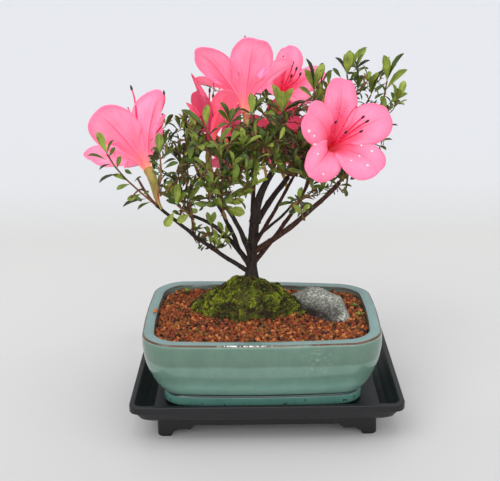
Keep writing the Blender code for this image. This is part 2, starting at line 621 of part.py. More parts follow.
def corolla_mesh(name, bloom):
    """The funnel of petals: rings round the axis, and a foot with one point between each two lobes."""
    base, axis, ways = bloom_ways(bloom)
    walls, alongs, outs = zip(*COROLLA)
    bm = bmesh.new()
    centre = bm.verts.new(tuple(base + axis * PETAL_THICKNESS))
    foot = [bm.verts.new(tuple(base + way * outs[0])) for way in ways]
    mid = LOBE_SAMPLES // 2
    loops = []
    for level in (0.30, 0.64, 1.0):
        loop = []
        for lobe in range(len(ways)):
            here, after = ways[lobe], ways[(lobe + 1) % len(ways)]
            for sample in range(LOBE_SAMPLES):
                share = (sample + 0.5) / LOBE_SAMPLES
                off = abs(share - 0.5) * 2
                reach = NOTCH if off < 0.2 else SHOULDER if off < 0.6 else 1.0
                size = np.linalg.norm(here) * (1 - share) + np.linalg.norm(after) * share
                way = here * (1 - share) + after * share
                way *= size / np.linalg.norm(way)
                wall = level * (1 - (1 - reach) * level ** 2)
                along = bloom.length * np.interp(wall, walls, alongs)
                loop.append(bm.verts.new(tuple(base + axis * along + way * np.interp(wall, walls, outs))))
        loops.append(loop)
    count = len(loops[0])
    for k in range(count):
        j = (k + 1) % count
        for low, high in zip(loops, loops[1:]):
            bm.faces.new((low[k], high[k], high[j], low[j]))
    for lobe, low in enumerate(foot):
        after = foot[(lobe + 1) % len(foot)]
        first = lobe * LOBE_SAMPLES
        bm.faces.new((centre, low, after))
        for k in range(first, first + LOBE_SAMPLES - 1):
            bm.faces.new((low if k < first + mid else after, loops[0][k], loops[0][k + 1]))
        bm.faces.new((low, loops[0][first + mid], after))
        bm.faces.new((after, loops[0][first + LOBE_SAMPLES - 1], loops[0][(first + LOBE_SAMPLES) % count]))
    return mesh_from(name, bm)


def stalk_path(bloom, paths):
    """The path of a bloom's stalk, from inside its limb to the foot of the bloom."""
    parent = paths[bloom.parent]
    start = point_along(parent, bloom.along)
    ahead = point_along(parent, min(1.0, bloom.along + 0.05)) - point_along(parent, bloom.along - 0.05)
    base = np.array(bloom.base)
    axis = direction(bloom.heading, bloom.rise)
    reach = np.linalg.norm(base - start)
    ahead = ahead / np.linalg.norm(ahead) + 1.3 * (base - start) / reach
    ahead /= np.linalg.norm(ahead)
    collar = base - axis * CALYX_LENGTH
    arc = bezier(start, start + ahead * reach * 0.30, collar - axis * reach * 0.30, collar, 5)
    return np.vstack([arc, base - axis * CALYX_LENGTH * 0.3, base + axis * CALYX_LENGTH * 0.7])


def fuse_bloom(name, bloom, paths, swell, collection):
    """A bloom's funnel of petals, thickened and fused with its calyx and stalk."""
    corolla = add_object(name, corolla_mesh(name, bloom), PETAL, collection)
    skin = corolla.modifiers.new("petal", "SOLIDIFY")
    skin.thickness = PETAL_THICKNESS + 2 * swell
    skin.offset = 0.0
    apply_modifiers(corolla)
    path = stalk_path(bloom, paths)
    calyx = (CALYX_RADIUS * 0.9, CALYX_RADIUS)
    radii = np.concatenate([np.linspace(STALK_THICK, STALK_THIN, len(path) - 2), calyx]) + swell
    stalk = add_object(name + "_stalk", curve_mesh(name + "_stalk", path, radii, 0), LEAF)
    pieces = bpy.data.collections.new(name + "_pieces")
    pieces.objects.link(stalk)
    unite(corolla, pieces)
    return corolla


def make_blooms(paths, spaces):
    """The large blooms, each cut clear of the limb that carries it, and the spaces round them."""
    for name, bloom in BLOOMS.items():
        made = fuse_bloom(name, bloom, paths, 0.0, PARTS)
        cut(made, [spaces[bloom.parent]])
        smooth(made, 45)
        spaces[name] = fuse_bloom(name + "_space", bloom, paths, 2 * GAP, CUTTERS)


def in_bloom(points, bloom, clear):
    """Whether each point lies in the round space of a bloom, out to its lobes."""
    axis = direction(bloom.heading, bloom.rise)
    offset = points - np.array(bloom.base)
    along = offset @ axis
    out = np.linalg.norm(offset - along[:, None] * axis, axis=1)
    share = along / bloom.length
    width = np.interp(share, [row[1] for row in COROLLA], [row[2] for row in COROLLA])
    inner = bloom.radius * width + clear
    return (share > -0.10) & (share < 1.05) & (out < inner)


class Space:
    """Where the leaves and twigs of one mass may be, and the shapes that they may not touch."""

    def __init__(self, name, obstacles):
        self.name = name
        self.obstacles = obstacles
        self.blades = []

    def share(self, points, name):
        """Distance from a mass's middle as a share of its size, 1 at the edge of its space."""
        mass = MASSES[name]
        return np.linalg.norm((points - np.array(mass.centre)) / np.array(mass.size), axis=1)

    def owns(self, points, edge):
        """Whether each point is in this mass's space and nearer to its middle than to any other's."""
        own = self.share(points, self.name)
        good = own < edge
        for other in MASSES:
            if other != self.name:
                good &= own < self.share(points, other) - SPACE_CLEAR
        return bool(good.all())

    def clear(self, points, faces):
        """Whether a shape touches no limb, bloom or other mass and lies outside every bloom."""
        if any(in_bloom(points, bloom, 0.0).any() for bloom in BLOOMS.values()):
            return False
        tree = BVHTree.FromPolygons([Vector(p) for p in points], faces)
        return not any(tree.overlap(other) for other in self.obstacles)

    def takes_blade(self, points):
        """Whether a leaf's blade, past its first quarter, touches no blade placed before it."""
        blade = points.copy()
        blade[0] = blade[0] + (blade[2] - blade[0]) * 0.25
        tree = BVHTree.FromPolygons([Vector(p) for p in blade], LEAF_FACES)
        if any(tree.overlap(other) for other in self.blades):
            return False
        self.blades.append(tree)
        return True


def choose_tips(mass, space, rng, count):
    """Twig tips: the named shoots, then seeded tips, each the farthest from the others of a few tries."""
    tips = [np.array(shoot) for shoot in mass.shoots]
    centre, size = np.array(mass.centre), np.array(mass.size)
    for _ in range(count):
        best, best_gap = None, -1.0
        for _ in range(24):
            way = rng.normal(size=3)
            way /= np.linalg.norm(way)
            tip = centre + way * size * rng.uniform(0.45, 0.88)
            if not space.owns(tip[None], 1.0):
                continue
            if any(in_bloom(tip[None], bloom, 0.002)[0] for bloom in BLOOMS.values()):
                continue
            gap = min([np.linalg.norm((tip - other) / size) for other in tips], default=1.0)
            if gap > best_gap:
                best, best_gap = tip, gap
        if best is not None:
            tips.append(best)
    return tips


def twig_shape(path, radii, sides=3):
    """Points and faces of a twig of few sides: small rings carried along its path and square to it."""
    ahead = np.gradient(path, axis=0)
    ahead /= np.linalg.norm(ahead, axis=1)[:, None]
    up, _ = axes_round(ahead[0])
    turns = 2 * math.pi * np.arange(sides)[:, None] / sides
    rings = []
    for place, way, radius in zip(path, ahead, radii):
        up = up - way * (up @ way)
        up /= np.linalg.norm(up)
        rings.append(place + radius * (np.cos(turns) * up + np.sin(turns) * np.cross(way, up)))
    faces = [tuple(reversed(range(sides))), tuple(range((len(path) - 1) * sides, len(path) * sides))]
    for low in range(0, (len(path) - 1) * sides, sides):
        for k in range(sides):
            j = (k + 1) % sides
            faces.append((low + k, low + j, low + sides + j, low + sides + k))
    return np.concatenate(rings), faces


def grow_twigs(mass, space, foot, ahead, rng):
    """One stem from the bough's tip, and a twig to each chosen tip from the nearest twig before it."""
    start = foot + ahead * STEM_START
    radii = np.linspace(TWIG_THICK, TWIG_THICK * 0.8, 5)
    for _ in range(40):
        middle = np.array(mass.centre) + np.array(mass.size) * rng.uniform(-0.35, 0.35, 3)
        reach = np.linalg.norm(middle - start)
        inside = start + (middle - start) * 0.6
        stem = bezier(start, start + ahead * reach * 0.25, inside - (inside - start) * 0.2, inside,
                      len(radii) - 2)
        stem = np.vstack([foot, stem])
        if space.clear(*twig_shape(stem, radii)):
            break
    twigs = [(stem, radii)]
    nodes = [(stem[k], stem[k] - stem[k - 1], TWIG_THICK * 0.9) for k in range(2, len(stem))]
    tips = sorted(choose_tips(mass, space, rng, mass.tips), key=lambda tip: np.linalg.norm(tip - foot))
    for tip in tips:
        def cost(node):
            place, way, _ = node
            far = tip - place
            turn = 1 - (far @ way) / (np.linalg.norm(far) * np.linalg.norm(way) + 1e-9)
            return np.linalg.norm(far) * (1 + 0.45 * turn)
        for place, way, thick in sorted(nodes, key=cost)[:4]:
            far = np.linalg.norm(tip - place)
            if far < 0.006:
                continue
            way = way / np.linalg.norm(way)
            lift = np.array([0.0, 0.0, 0.25 * far])
            path = bezier(place, place + way * far * 0.3, tip - lift, tip, 2)
            thin = max(TWIG_THIN, thick * 0.75)
            radii = np.linspace(thick * 0.85, thin * 0.8, len(path))
            if space.owns(path[1:], TWIG_EDGE) and space.clear(*twig_shape(path, radii)):
                twigs.append((path, radii))
                nodes += [(path[k], path[k] - path[k - 1], thin) for k in range(1, len(path))]
                break
    return twigs


# A leaf folded along its middle, with a keel below: root, side, tip, side and keel
LEAF_POINTS = np.array([(0, 0, 0), (0.55, 0.5, 0.7), (1, 0, 0.2), (0.55, -0.5, 0.7), (0.50, 0, -0.6)])
LEAF_FACES = ((0, 2, 1), (0, 3, 2), (0, 1, 4), (1, 2, 4), (2, 3, 4), (3, 0, 4))


def leaf_points(root, way, face, length):
    """The five points of a leaf that runs from its root along a way, with its upper side to a face."""
    face = face - way * (face @ way)
    face /= np.linalg.norm(face)
    side = np.cross(face, way)
    scale = length / LEAF_LENGTH
    return (root + LEAF_POINTS[:, :1] * length * way + LEAF_POINTS[:, 1:2] * LEAF_WIDTH * scale * side
            + LEAF_POINTS[:, 2:] * LEAF_THICKNESS * face)


def grow_leaves(twigs, space, rng):
    """A whorl of leaves at each twig's tip and a few below it, where there is room for them."""
    leaves = []
    for path, radii in twigs[1:]:
        way = path[-1] - path[-2]
        way /= np.linalg.norm(way)
        up, side = axes_round(way)
        first = rng.uniform(0, 360)
        long = np.linalg.norm(np.diff(path, axis=0), axis=1).sum()
        places = [(1 - WHORL_STEP * (k + 0.5) / long, 34 + 5 * k, GOLDEN * k) for k in range(WHORL)]
        for share, spread, turn in places + list(LOWER_LEAVES):
            spread = math.radians(spread + rng.uniform(-8, 8))
            turn = math.radians(first + turn + rng.uniform(-15, 15))
            out = up * math.cos(turn) + side * math.sin(turn)
            run = way * math.cos(spread) + out * math.sin(spread)
            root = point_along(path, share) - run * radii[-1] * 0.3
            points = leaf_points(root, run, way, LEAF_LENGTH * rng.uniform(0.82, 1.08))
            if not space.owns(points[1:], LEAF_EDGE) or not space.clear(points, LEAF_FACES):
                continue
            if space.takes_blade(points):
                leaves.append(points)
    return leaves


def solid_tree(obj):
    """A search tree of an object's faces, to test other shapes against."""
    points = [vert.co for vert in obj.data.vertices]
    return BVHTree.FromPolygons(points, [tuple(face.vertices) for face in obj.data.polygons])


def plain_mesh(name, points, faces):
    """A mesh of points and faces worked out before."""
    mesh = bpy.data.meshes.new(name)
    mesh.from_pydata([tuple(point) for point in points], [], faces)
    return mesh


def make_masses(paths, spaces):
    """The masses of foliage, each fused from its twigs and leaves into one solid."""
    obstacles = [solid_tree(space) for space in spaces.values()]
    for name, mass in MASSES.items():
        rng = np.random.default_rng(mass.seed)
        space = Space(name, obstacles)
        path = paths[mass.bough]
        ahead = path[-1] - path[-2]
        ahead /= np.linalg.norm(ahead)
        twigs = grow_twigs(mass, space, path[-1] + ahead * GAP, ahead, rng)
        leaves = grow_leaves(twigs, space, rng)
        shapes = [twig_shape(*twig) for twig in twigs] + [(points, LEAF_FACES) for points in leaves]
        stem = add_object(name, plain_mesh(name, *shapes[0]), LEAF)
        pieces = bpy.data.collections.new(name + "_pieces")
        for index, shape in enumerate(shapes[1:]):
            piece = bpy.data.objects.new(f"{name}_{index}", plain_mesh(f"{name}_{index}", *shape))
            piece.parent = HOME
            pieces.objects.link(piece)
        unite(stem, pieces)
        obstacles.append(solid_tree(stem))
        print(name, len(twigs), "twigs", len(leaves), "leaves", len(stem.data.polygons), "triangles")


make_tray()
make_pot()
make_grit()
limb_paths, limb_spaces = make_limbs()
make_rock()
make_moss(limb_spaces["trunk"], make_rock("rock_space", 0.0006, CUTTERS))
make_blooms(limb_paths, limb_spaces)
make_masses(limb_paths, limb_spaces)
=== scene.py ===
# %% [markdown]
# An azalea bonsai in flower, grown in a celadon-glazed pot that stands in a black drip tray.
# The solids come first, as the fixed frame: they say where each limb, bloom and mass of leaves is.
# Everything below gives them the surface that the eye reads: glaze, granules, moss, bark, petals, leaves.

# %% The frame
import itertools
import json
import math
from collections import namedtuple

import bmesh
import bpy
import numpy as np
from mathutils import Matrix, Vector
from mathutils.bvhtree import BVHTree

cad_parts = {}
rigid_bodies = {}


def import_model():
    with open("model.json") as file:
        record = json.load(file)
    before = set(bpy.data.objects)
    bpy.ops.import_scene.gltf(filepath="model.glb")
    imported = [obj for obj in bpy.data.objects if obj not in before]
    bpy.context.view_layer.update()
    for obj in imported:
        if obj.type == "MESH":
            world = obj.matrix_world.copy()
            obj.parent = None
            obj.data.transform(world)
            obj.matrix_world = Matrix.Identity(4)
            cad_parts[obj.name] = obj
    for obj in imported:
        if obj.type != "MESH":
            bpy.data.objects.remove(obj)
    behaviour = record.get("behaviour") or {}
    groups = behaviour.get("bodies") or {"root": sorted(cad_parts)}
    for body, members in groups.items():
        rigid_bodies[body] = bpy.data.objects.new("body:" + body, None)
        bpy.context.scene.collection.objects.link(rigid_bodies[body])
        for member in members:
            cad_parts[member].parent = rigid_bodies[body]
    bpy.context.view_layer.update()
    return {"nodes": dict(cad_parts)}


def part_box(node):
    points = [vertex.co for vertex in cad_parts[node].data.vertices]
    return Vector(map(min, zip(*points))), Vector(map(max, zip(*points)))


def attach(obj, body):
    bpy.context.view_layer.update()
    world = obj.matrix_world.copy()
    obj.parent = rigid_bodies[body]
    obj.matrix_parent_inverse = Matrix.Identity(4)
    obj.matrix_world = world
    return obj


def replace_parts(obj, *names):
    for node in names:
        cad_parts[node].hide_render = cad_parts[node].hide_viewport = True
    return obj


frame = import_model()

# %% [markdown]
# All places are measured from the middle of the pot, at the level of the table, as a maker would do it.
# The tray is a regular shape, so its box tells where that middle lies in the frame.

# %% The pot's middle
TRAY_SHIFT = np.array([0.0025, 0.0019])
tray_low, tray_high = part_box("tray")
middle = (np.array(tray_low) + np.array(tray_high))[:2] / 2 - TRAY_SHIFT
PLACE = np.array([middle[0], middle[1], 0.0])
print("the pot's middle lies at", PLACE.round(4))

# %% [markdown]
# Most pieces are grids: a function gives a point for each row and column, and neighbours make a face.
# numpy works out all points at once, and foreach_set hands them to Blender without a loop.

# %% Grids and meshes
def grid_faces(rows, columns, wrap=False, start=0):
    """Quads between neighbouring points of a grid whose last column may join its first."""
    row, column = np.meshgrid(np.arange(rows - 1), np.arange(columns if wrap else columns - 1), indexing="ij")
    after = (column + 1) % columns
    here, above = row * columns, (row + 1) * columns
    return np.stack([here + column, here + after, above + after, above + column], -1).reshape(-1, 4) + start


def make_mesh(name, points, faces, uv=None):
    """A mesh from an array of points and an array of faces that all have as many corners."""
    points = np.asarray(points, np.float32).reshape(-1, 3)
    faces = np.asarray(faces, np.int32)
    mesh = bpy.data.meshes.new(name)
    mesh.vertices.add(len(points))
    mesh.vertices.foreach_set("co", points.ravel())
    mesh.loops.add(faces.size)
    mesh.loops.foreach_set("vertex_index", faces.ravel())
    mesh.polygons.add(len(faces))
    mesh.polygons.foreach_set("loop_start", np.arange(0, faces.size, faces.shape[1], dtype=np.int32))
    mesh.update(calc_edges=True)
    if uv is not None:
        layer = mesh.uv_layers.new(name="uv")
        layer.data.foreach_set("uv", np.asarray(uv, np.float32).reshape(-1, 2)[faces.ravel()].ravel())
    return mesh


def add_piece(name, mesh, finish, smooth=True):
    """Puts a finished mesh in the scene, riding on the one body that the plant and its pot are."""
    if finish is not None:
        mesh.materials.clear()
        mesh.materials.append(finish)
    if smooth:
        mesh.shade_smooth()
    piece = bpy.data.objects.new(name, mesh)
    bpy.context.scene.collection.objects.link(piece)
    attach(piece, "root")
    return piece


def placed(points):
    """Points measured from the pot's middle, moved to their place in the frame."""
    return np.asarray(points) + PLACE


def unit(vectors):
    """Vectors made as long as 1."""
    return vectors / np.maximum(np.linalg.norm(vectors, axis=-1, keepdims=True), 1e-12)


def joined_mesh(name, shapes, faces, uv=None):
    """Many shapes of one kind as one mesh: the faces of each are shifted past the points before it."""
    shapes = np.asarray(shapes).reshape(len(shapes), -1, 3)
    shifts = (np.arange(len(shapes)) * shapes.shape[1])[:, None, None]
    return make_mesh(name, placed(shapes), (faces[None] + shifts).reshape(-1, faces.shape[1]),
                     None if uv is None else np.tile(uv.reshape(-1, 2), (len(shapes), 1)))


# %% [markdown]
# Stone, bark and moss are uneven at several scales at once. Value noise gives that: random numbers at the
# corners of a lattice, blended smoothly in between, and added up at finer and finer scales.

# %% Noise
def value_noise(points, scale, seed):
    """Smooth random numbers from -1 to 1: hashed numbers at lattice corners, blended by smooth steps."""
    spot = np.asarray(points, float) / scale + 11.7 * seed
    cell = np.floor(spot).astype(np.int64)
    share = spot - cell
    share = share * share * (3 - 2 * share)
    total = np.zeros(spot.shape[:-1])
    for corner in itertools.product((0, 1), repeat=3):
        at = cell + np.array(corner)
        mixed = (at[..., 0] * 73856093) ^ (at[..., 1] * 19349663) ^ (at[..., 2] * 83492791) ^ (seed * 40503)
        mixed = ((mixed ^ (mixed >> 13)) * 1274126177) & 0x7FFFFFFF
        number = ((mixed ^ (mixed >> 15)) & 0xFFFF) / 32767.5 - 1
        total += number * np.prod(np.where(np.array(corner) == 1, share, 1 - share), axis=-1)
    return total


def fractal(points, scale, octaves, seed):
    """Value noise summed over octaves, each half as large in scale and in height as the one before."""
    return sum(value_noise(points, scale / 2 ** k, seed + k) / 2 ** k for k in range(octaves)) / 1.6


# %% [markdown]
# A finish is a small net of shader nodes. Helpers keep each net short enough to read: one makes a material
# and hands back its shader, one makes a node and wires it in one call, and the others make the few kinds of
# node that nearly every finish needs.

# %% Finishes
def new_finish(name, roughness, **sockets):
    """A Principled material whose plain values sit on the shader's own sockets."""
    made = bpy.data.materials.new(name)
    made.use_nodes = True
    shader = made.node_tree.nodes["Principled BSDF"]
    shader.inputs["Roughness"].default_value = roughness
    for title, value in sockets.items():
        shader.inputs[title.replace("_", " ").title().replace("Ior", "IOR")].default_value = value
    return made, made.node_tree, shader


def add_node(tree, kind, inputs=(), **settings):
    """A shader node with its settings, its plain inputs and its wires."""
    made = tree.nodes.new("ShaderNode" + kind)
    for title, value in settings.items():
        setattr(made, title, value)
    for title, value in dict(inputs).items():
        if isinstance(value, bpy.types.NodeSocket):
            tree.links.new(value, made.inputs[title])
        else:
            made.inputs[title].default_value = value
    return made


def spot(tree, kind="Object"):
    """What a pattern is read by: its place in metres, UV for the piece's map, Normal for the way it faces."""
    return add_node(tree, "TexCoord").outputs[kind]


def axis_of(tree, vector, axis):
    """One of a vector's three numbers."""
    return add_node(tree, "SeparateXYZ", {"Vector": vector}).outputs[axis]


def sum_of(tree, first, second, how="ADD"):
    """Two numbers added, or subtracted."""
    return add_node(tree, "Math", {0: first, 1: second}, operation=how).outputs[0]


def rescaled(tree, value, before, after):
    """A value moved from one range, (low, high), to another."""
    ends = zip(("From Min", "From Max", "To Min", "To Max"), (*before, *after))
    return add_node(tree, "MapRange", {"Value": value, **dict(ends)}).outputs["Result"]


def distance_from(tree, place, point):
    """How far each place is from a point that is measured from the pot's middle."""
    made = add_node(tree, "VectorMath", {0: place, 1: tuple(placed(point))}, operation="DISTANCE")
    return made.outputs["Value"]


def ramp(tree, factor, *stops, smooth=False):
    """A colour ramp through stops of (place, colour), read at a factor; a single number is a grey."""
    made = add_node(tree, "ValToRGB", {"Fac": factor})
    made.color_ramp.interpolation = "EASE" if smooth else "LINEAR"
    elements = made.color_ramp.elements
    while len(elements) < len(stops):
        elements.new(0.5)
    for element, (place, colour) in zip(elements, stops):
        element.position = place
        element.color = (*np.full(3, colour, float), 1.0)
    return made.outputs["Color"]


def tones(tree, factor, *stops, smooth=False):
    """A colour ramp through stops of (place, red, green, blue), as a screen shows them."""
    return ramp(tree, factor, *((place, srgb(*colour)) for place, *colour in stops), smooth=smooth)


def mix(tree, factor, first, second, how="MIX"):
    """Two colours mixed by a factor; each may be a plain colour or another node's output."""
    made = tree.nodes.new("ShaderNodeMix")
    made.data_type = "RGBA"
    made.blend_type = how
    for socket, value in zip((made.inputs[0], made.inputs[6], made.inputs[7]), (factor, first, second)):
        if isinstance(value, bpy.types.NodeSocket):
            tree.links.new(value, socket)
        else:
            socket.default_value = value if isinstance(value, float) else (*value, 1.0)
    return made.outputs[2]


def both(tree, first, second):
    """A mask that is white only where two masks are."""
    return mix(tree, 1.0, first, second, "MULTIPLY")


def noise(tree, place, scale, detail, roughness=0.55, stretch=None):
    """A noise texture's height, read at places that may be stretched first."""
    if stretch is not None:
        place = add_node(tree, "Mapping", {"Vector": place, "Scale": stretch}).outputs["Vector"]
    inputs = {"Vector": place, "Scale": scale, "Detail": detail, "Roughness": roughness}
    return add_node(tree, "TexNoise", inputs).outputs["Fac"]


def bump(tree, shader, height, strength, distance):
    """Tilts the shading by a height, as fine relief would."""
    made = add_node(tree, "Bump", {"Height": height, "Strength": strength, "Distance": distance})
    tree.links.new(made.outputs["Normal"], shader.inputs["Normal"])


def paint(tree, shader, colour):
    """Gives a shader its colour."""
    tree.links.new(colour, shader.inputs["Base Color"])


def srgb(red, green, blue):
    """A colour as a screen shows it, from 0 to 255, turned into the light that it stands for."""
    values = np.array([red, green, blue]) / 255
    light = np.where(values <= 0.04045, values / 12.92, ((values + 0.055) / 1.055) ** 2.4)
    return tuple(float(value) for value in light)


def shade(tint, scale, more=0):
    """A screen colour made lighter or darker."""
    return srgb(*(min(255, v * scale + more) for v in tint))


# %% [markdown]
# The camera stands where the photographer stood: a little over the crown's top, an arm's length away, and
# looking down a little. Pitch, yaw and roll turn into three unit vectors, the columns of its matrix.

# %% The camera
CAMERA_AT = (-0.0002, -0.6171, 0.3121)
CAMERA_PITCH, CAMERA_YAW, CAMERA_ROLL = (math.radians(angle) for angle in (17.39, -0.63, -0.99))
CAMERA_LENS = 70.0

flat = math.cos(CAMERA_PITCH)
ahead = np.array([math.sin(CAMERA_YAW) * flat, math.cos(CAMERA_YAW) * flat, -math.sin(CAMERA_PITCH)])
level = np.array([math.cos(CAMERA_YAW), -math.sin(CAMERA_YAW), 0.0])
upright = np.cross(level, ahead)
across = level * math.cos(CAMERA_ROLL) + upright * math.sin(CAMERA_ROLL)
above = upright * math.cos(CAMERA_ROLL) - level * math.sin(CAMERA_ROLL)
turned = Matrix(np.stack([across, above, -ahead], 1).tolist()).to_4x4()
camera = bpy.data.objects.new("camera", bpy.data.cameras.new("camera"))
camera.data.lens = CAMERA_LENS
camera.matrix_world = Matrix.Translation(Vector(placed(CAMERA_AT))) @ turned
bpy.context.scene.collection.objects.link(camera)
bpy.context.scene.camera = camera
print("camera at", [round(v, 3) for v in camera.location])

# %% Between pixels and places
PICTURE_MIDDLE, PICTURE_WIDE, SENSOR_WIDE = (250, 240.5), 500, 36
EYE, FOCAL = np.array(CAMERA_AT), CAMERA_LENS / SENSOR_WIDE * PICTURE_WIDE


def sight(pixel):
    """The line of sight through a pixel of the photograph, as a step from the camera."""
    right, down = (pixel[0] - PICTURE_MIDDLE[0]) / FOCAL, (pixel[1] - PICTURE_MIDDLE[1]) / FOCAL
    return ahead + right * across - down * above


def seen_at(pixel, height):
    """The point at a height over the table that a pixel of the photograph shows, from the pot's middle."""
    ray = sight(pixel)
    return EYE + ray * (height - EYE[2]) / ray[2]


def seen_deep(pixel, depth):
    """The point that a pixel shows at a depth behind the pot's middle."""
    ray = sight(pixel)
    return EYE + ray * (depth - EYE[1]) / ray[1]


def pixels_of(points):
    """Where the photograph shows points: the way back from a place to its pixel."""
    offset = points - EYE
    far = offset @ ahead
    return np.stack([PICTURE_MIDDLE[0] + FOCAL * (offset @ across) / far,
                     PICTURE_MIDDLE[1] - FOCAL * (offset @ above) / far], -1)


print("as deep as the pot's middle, the picture's middle shows", seen_deep(PICTURE_MIDDLE, 0.0).round(4))

# %% [markdown]
# The plant stands on a plain pale table in soft studio light. The table is so large that it fills the picture
# to its upper edge. Its colour is painted a little darker towards the viewer, as the light falls in a light
# tent, and a faint painted shadow of the plant lies in a band behind it.

# %% The table and the light
TABLE_REACH = 6.0
table_with_painted_shade, tree, shader = new_finish("table_paper", 0.75, specular_ior_level=0.2)
share = rescaled(tree, axis_of(tree, spot(tree), "Y"), (-0.35, 1.20), (0, 1))
# Painted shade: darker towards the viewer, with a faint painted shadow band behind the plant
paint(tree, shader, tones(tree, share, (0.0, 202, 201, 201), (0.28, 213, 212, 211), (0.47, 208, 207, 205),
                          (0.62, 215, 216, 218), (1.0, 216, 217, 221)))
corners = np.array([(-1, -1, 0), (1, -1, 0), (1, 1, 0), (-1, 1, 0)]) * TABLE_REACH
table = bpy.data.objects.new("table", make_mesh("table", corners, [(0, 1, 2, 3)]))
table.data.materials.append(table_with_painted_shade)
bpy.context.scene.collection.objects.link(table)

world = bpy.data.worlds.new("studio")
world.use_nodes = True
sky = world.node_tree.nodes["Background"].inputs
sky["Color"].default_value, sky["Strength"].default_value = (0.95, 0.97, 1.0, 1.0), 0.60
bpy.context.scene.world = world
bpy.context.scene.view_settings.view_transform = "Standard"

LIGHTS = {  # where each soft light shines from, how wide it looks in degrees, and its strength
    "key_light": ((-0.50, -0.62, 0.95), 38, 1.00),
    "fill_light": ((0.75, -0.45, 0.80), 50, 0.50),
    "top_light": ((0.05, 0.35, 1.20), 60, 0.45),
    "front_light": ((0.10, -1.00, 0.22), 45, 0.95),
    "window_light": ((0.04, -0.62, 1.05), 5, 0.22),
}
for name, (place, wide, power) in LIGHTS.items():
    lamp = bpy.data.lights.new(name, "SUN")
    lamp.angle, lamp.energy = math.radians(wide), power
    holder = bpy.data.objects.new(name, lamp)
    holder.location = place
    holder.rotation_euler = (-Vector(place)).to_track_quat("-Z", "Y").to_euler()
    bpy.context.scene.collection.objects.link(holder)
print("lights:", ", ".join(LIGHTS))

# %% [markdown]
# The drip tray is moulded black plastic. Its solid already has the true shape, so a copy is enough: its
# loose triangles are merged, a fine bevel rounds the edges as a mould does, and a faint grain is added.

# %% The drip tray
def merged_copy(node):
    """A copy of a node's mesh whose loose triangles are joined at their shared corners."""
    mesh = frame["nodes"][node].data.copy()
    work = bmesh.new()
    work.from_mesh(mesh)
    bmesh.ops.remove_doubles(work, verts=work.verts, dist=1e-6)
    bmesh.ops.dissolve_limit(work, angle_limit=math.radians(2), verts=work.verts, edges=work.edges)
    work.to_mesh(mesh)
    work.free()
    return mesh


TRAY_ROUNDING = 0.0006
plastic, tree, shader = new_finish("moulded_plastic", 0.42)
dust = noise(tree, spot(tree), 90, 5)
paint(tree, shader, tones(tree, dust, (0.35, 4, 4, 8), (0.75, 10, 9, 15)))
tree.links.new(rescaled(tree, dust, (0, 1), (0.34, 0.56)), shader.inputs["Roughness"])
bump(tree, shader, noise(tree, spot(tree), 2600, 2), 0.25, 0.0001)
tray = add_piece("drip_tray", merged_copy("tray"), plastic, smooth=False)
rounding = tray.modifiers.new("rounded", "BEVEL")
rounding.width, rounding.segments = TRAY_ROUNDING, 2
rounding.limit_method, rounding.angle_limit = "ANGLE", math.radians(30)
rounding.harden_normals = True
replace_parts(tray, "tray")
print("drip tray:", len(tray.data.polygons), "faces before its edges are rounded")

# %% [markdown]
# The pot is a slab-sided bowl whose walls bow out. Each level of it is a rectangle with round corners, so a
# level is known from three numbers: how far it is set in, its corner radius and its depth below the rim.
# A smooth curve through nineteen such levels, read at many places, gives the whole skin as one grid.

# %% Rounded outlines and smooth profiles
CORNER_STEPS, SIDE_STEPS = 12, 26


def outline_parts():
    """Signs of the corner centres and directions from them, all round a rectangle with round corners."""
    signs, ways = [], []
    order = np.array([(1, 1), (-1, 1), (-1, -1), (1, -1)], float)
    for quarter in range(4):
        turns = np.radians(90 * quarter + np.linspace(0, 90, CORNER_STEPS + 1))
        signs.append(np.repeat(order[quarter][None], len(turns), 0))
        ways.append(np.stack([np.cos(turns), np.sin(turns)], -1))
        share = (np.arange(1, SIDE_STEPS) / SIDE_STEPS)[:, None]
        signs.append(order[quarter] * (1 - share) + order[(quarter + 1) % 4] * share)
        ways.append(np.repeat(ways[-1][-1:], SIDE_STEPS - 1, 0))
    return np.concatenate(signs), np.concatenate(ways)


def smooth_rows(rows, steps):
    """Rows of numbers read along the smooth curve that passes through them all, with their places on it."""
    rows = np.asarray(rows, float)
    places = np.linspace(0, len(rows) - 1, steps)
    cell = np.minimum(places.astype(int), len(rows) - 2)
    share = (places - cell)[:, None]
    slopes = np.gradient(rows, axis=0)
    start, end, out, into = rows[cell], rows[cell + 1], slopes[cell], slopes[cell + 1]
    square, cube = share ** 2, share ** 3
    return (start * (2 * cube - 3 * square + 1) + end * (3 * square - 2 * cube)
            + out * (cube - 2 * square + share) + into * (cube - square)), places / (len(rows) - 1)


POT_LENGTH, POT_WIDTH = 0.152, 0.1125
POT_BULGE, POT_SKEW, POT_WALL = 0.0037, 0.118, 0.0078
POT_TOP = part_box("pot")[1].z


def pot_grid(rows):
    """Each level is a rectangle with round corners: its sides bow as 1 - t squared, its back is skewed."""
    inset, corner, depth = np.asarray(rows).T[:, :, None, None]
    signs, ways = outline_parts()
    half = np.stack([POT_LENGTH / 2 - inset, POT_WIDTH / 2 - inset], -1).reshape(len(inset), 1, 2)
    corner = corner.reshape(-1, 1, 1)
    flat = signs * (half - corner) + ways * corner
    x, y = flat[..., 0], flat[..., 1]
    along_x, along_y = x / half[..., 0], y / half[..., 1]
    bowed_x = x + 0.7 * POT_BULGE * (1 - along_y ** 2) * along_x
    bowed_y = y * np.where(y > 0, 1 - POT_SKEW * along_x, 1) + POT_BULGE * (1 - along_x ** 2) * along_y
    return np.stack([bowed_x, bowed_y, np.broadcast_to(POT_TOP - depth.reshape(-1, 1), x.shape)], -1)


def close_ends(mesh):
    """Puts a flat cap on each open end of a skin."""
    work = bmesh.new()
    work.from_mesh(mesh)
    bmesh.ops.holes_fill(work, edges=[edge for edge in work.edges if edge.is_boundary])
    bmesh.ops.recalc_face_normals(work, faces=work.faces)
    work.to_mesh(mesh)
    work.free()
    return mesh
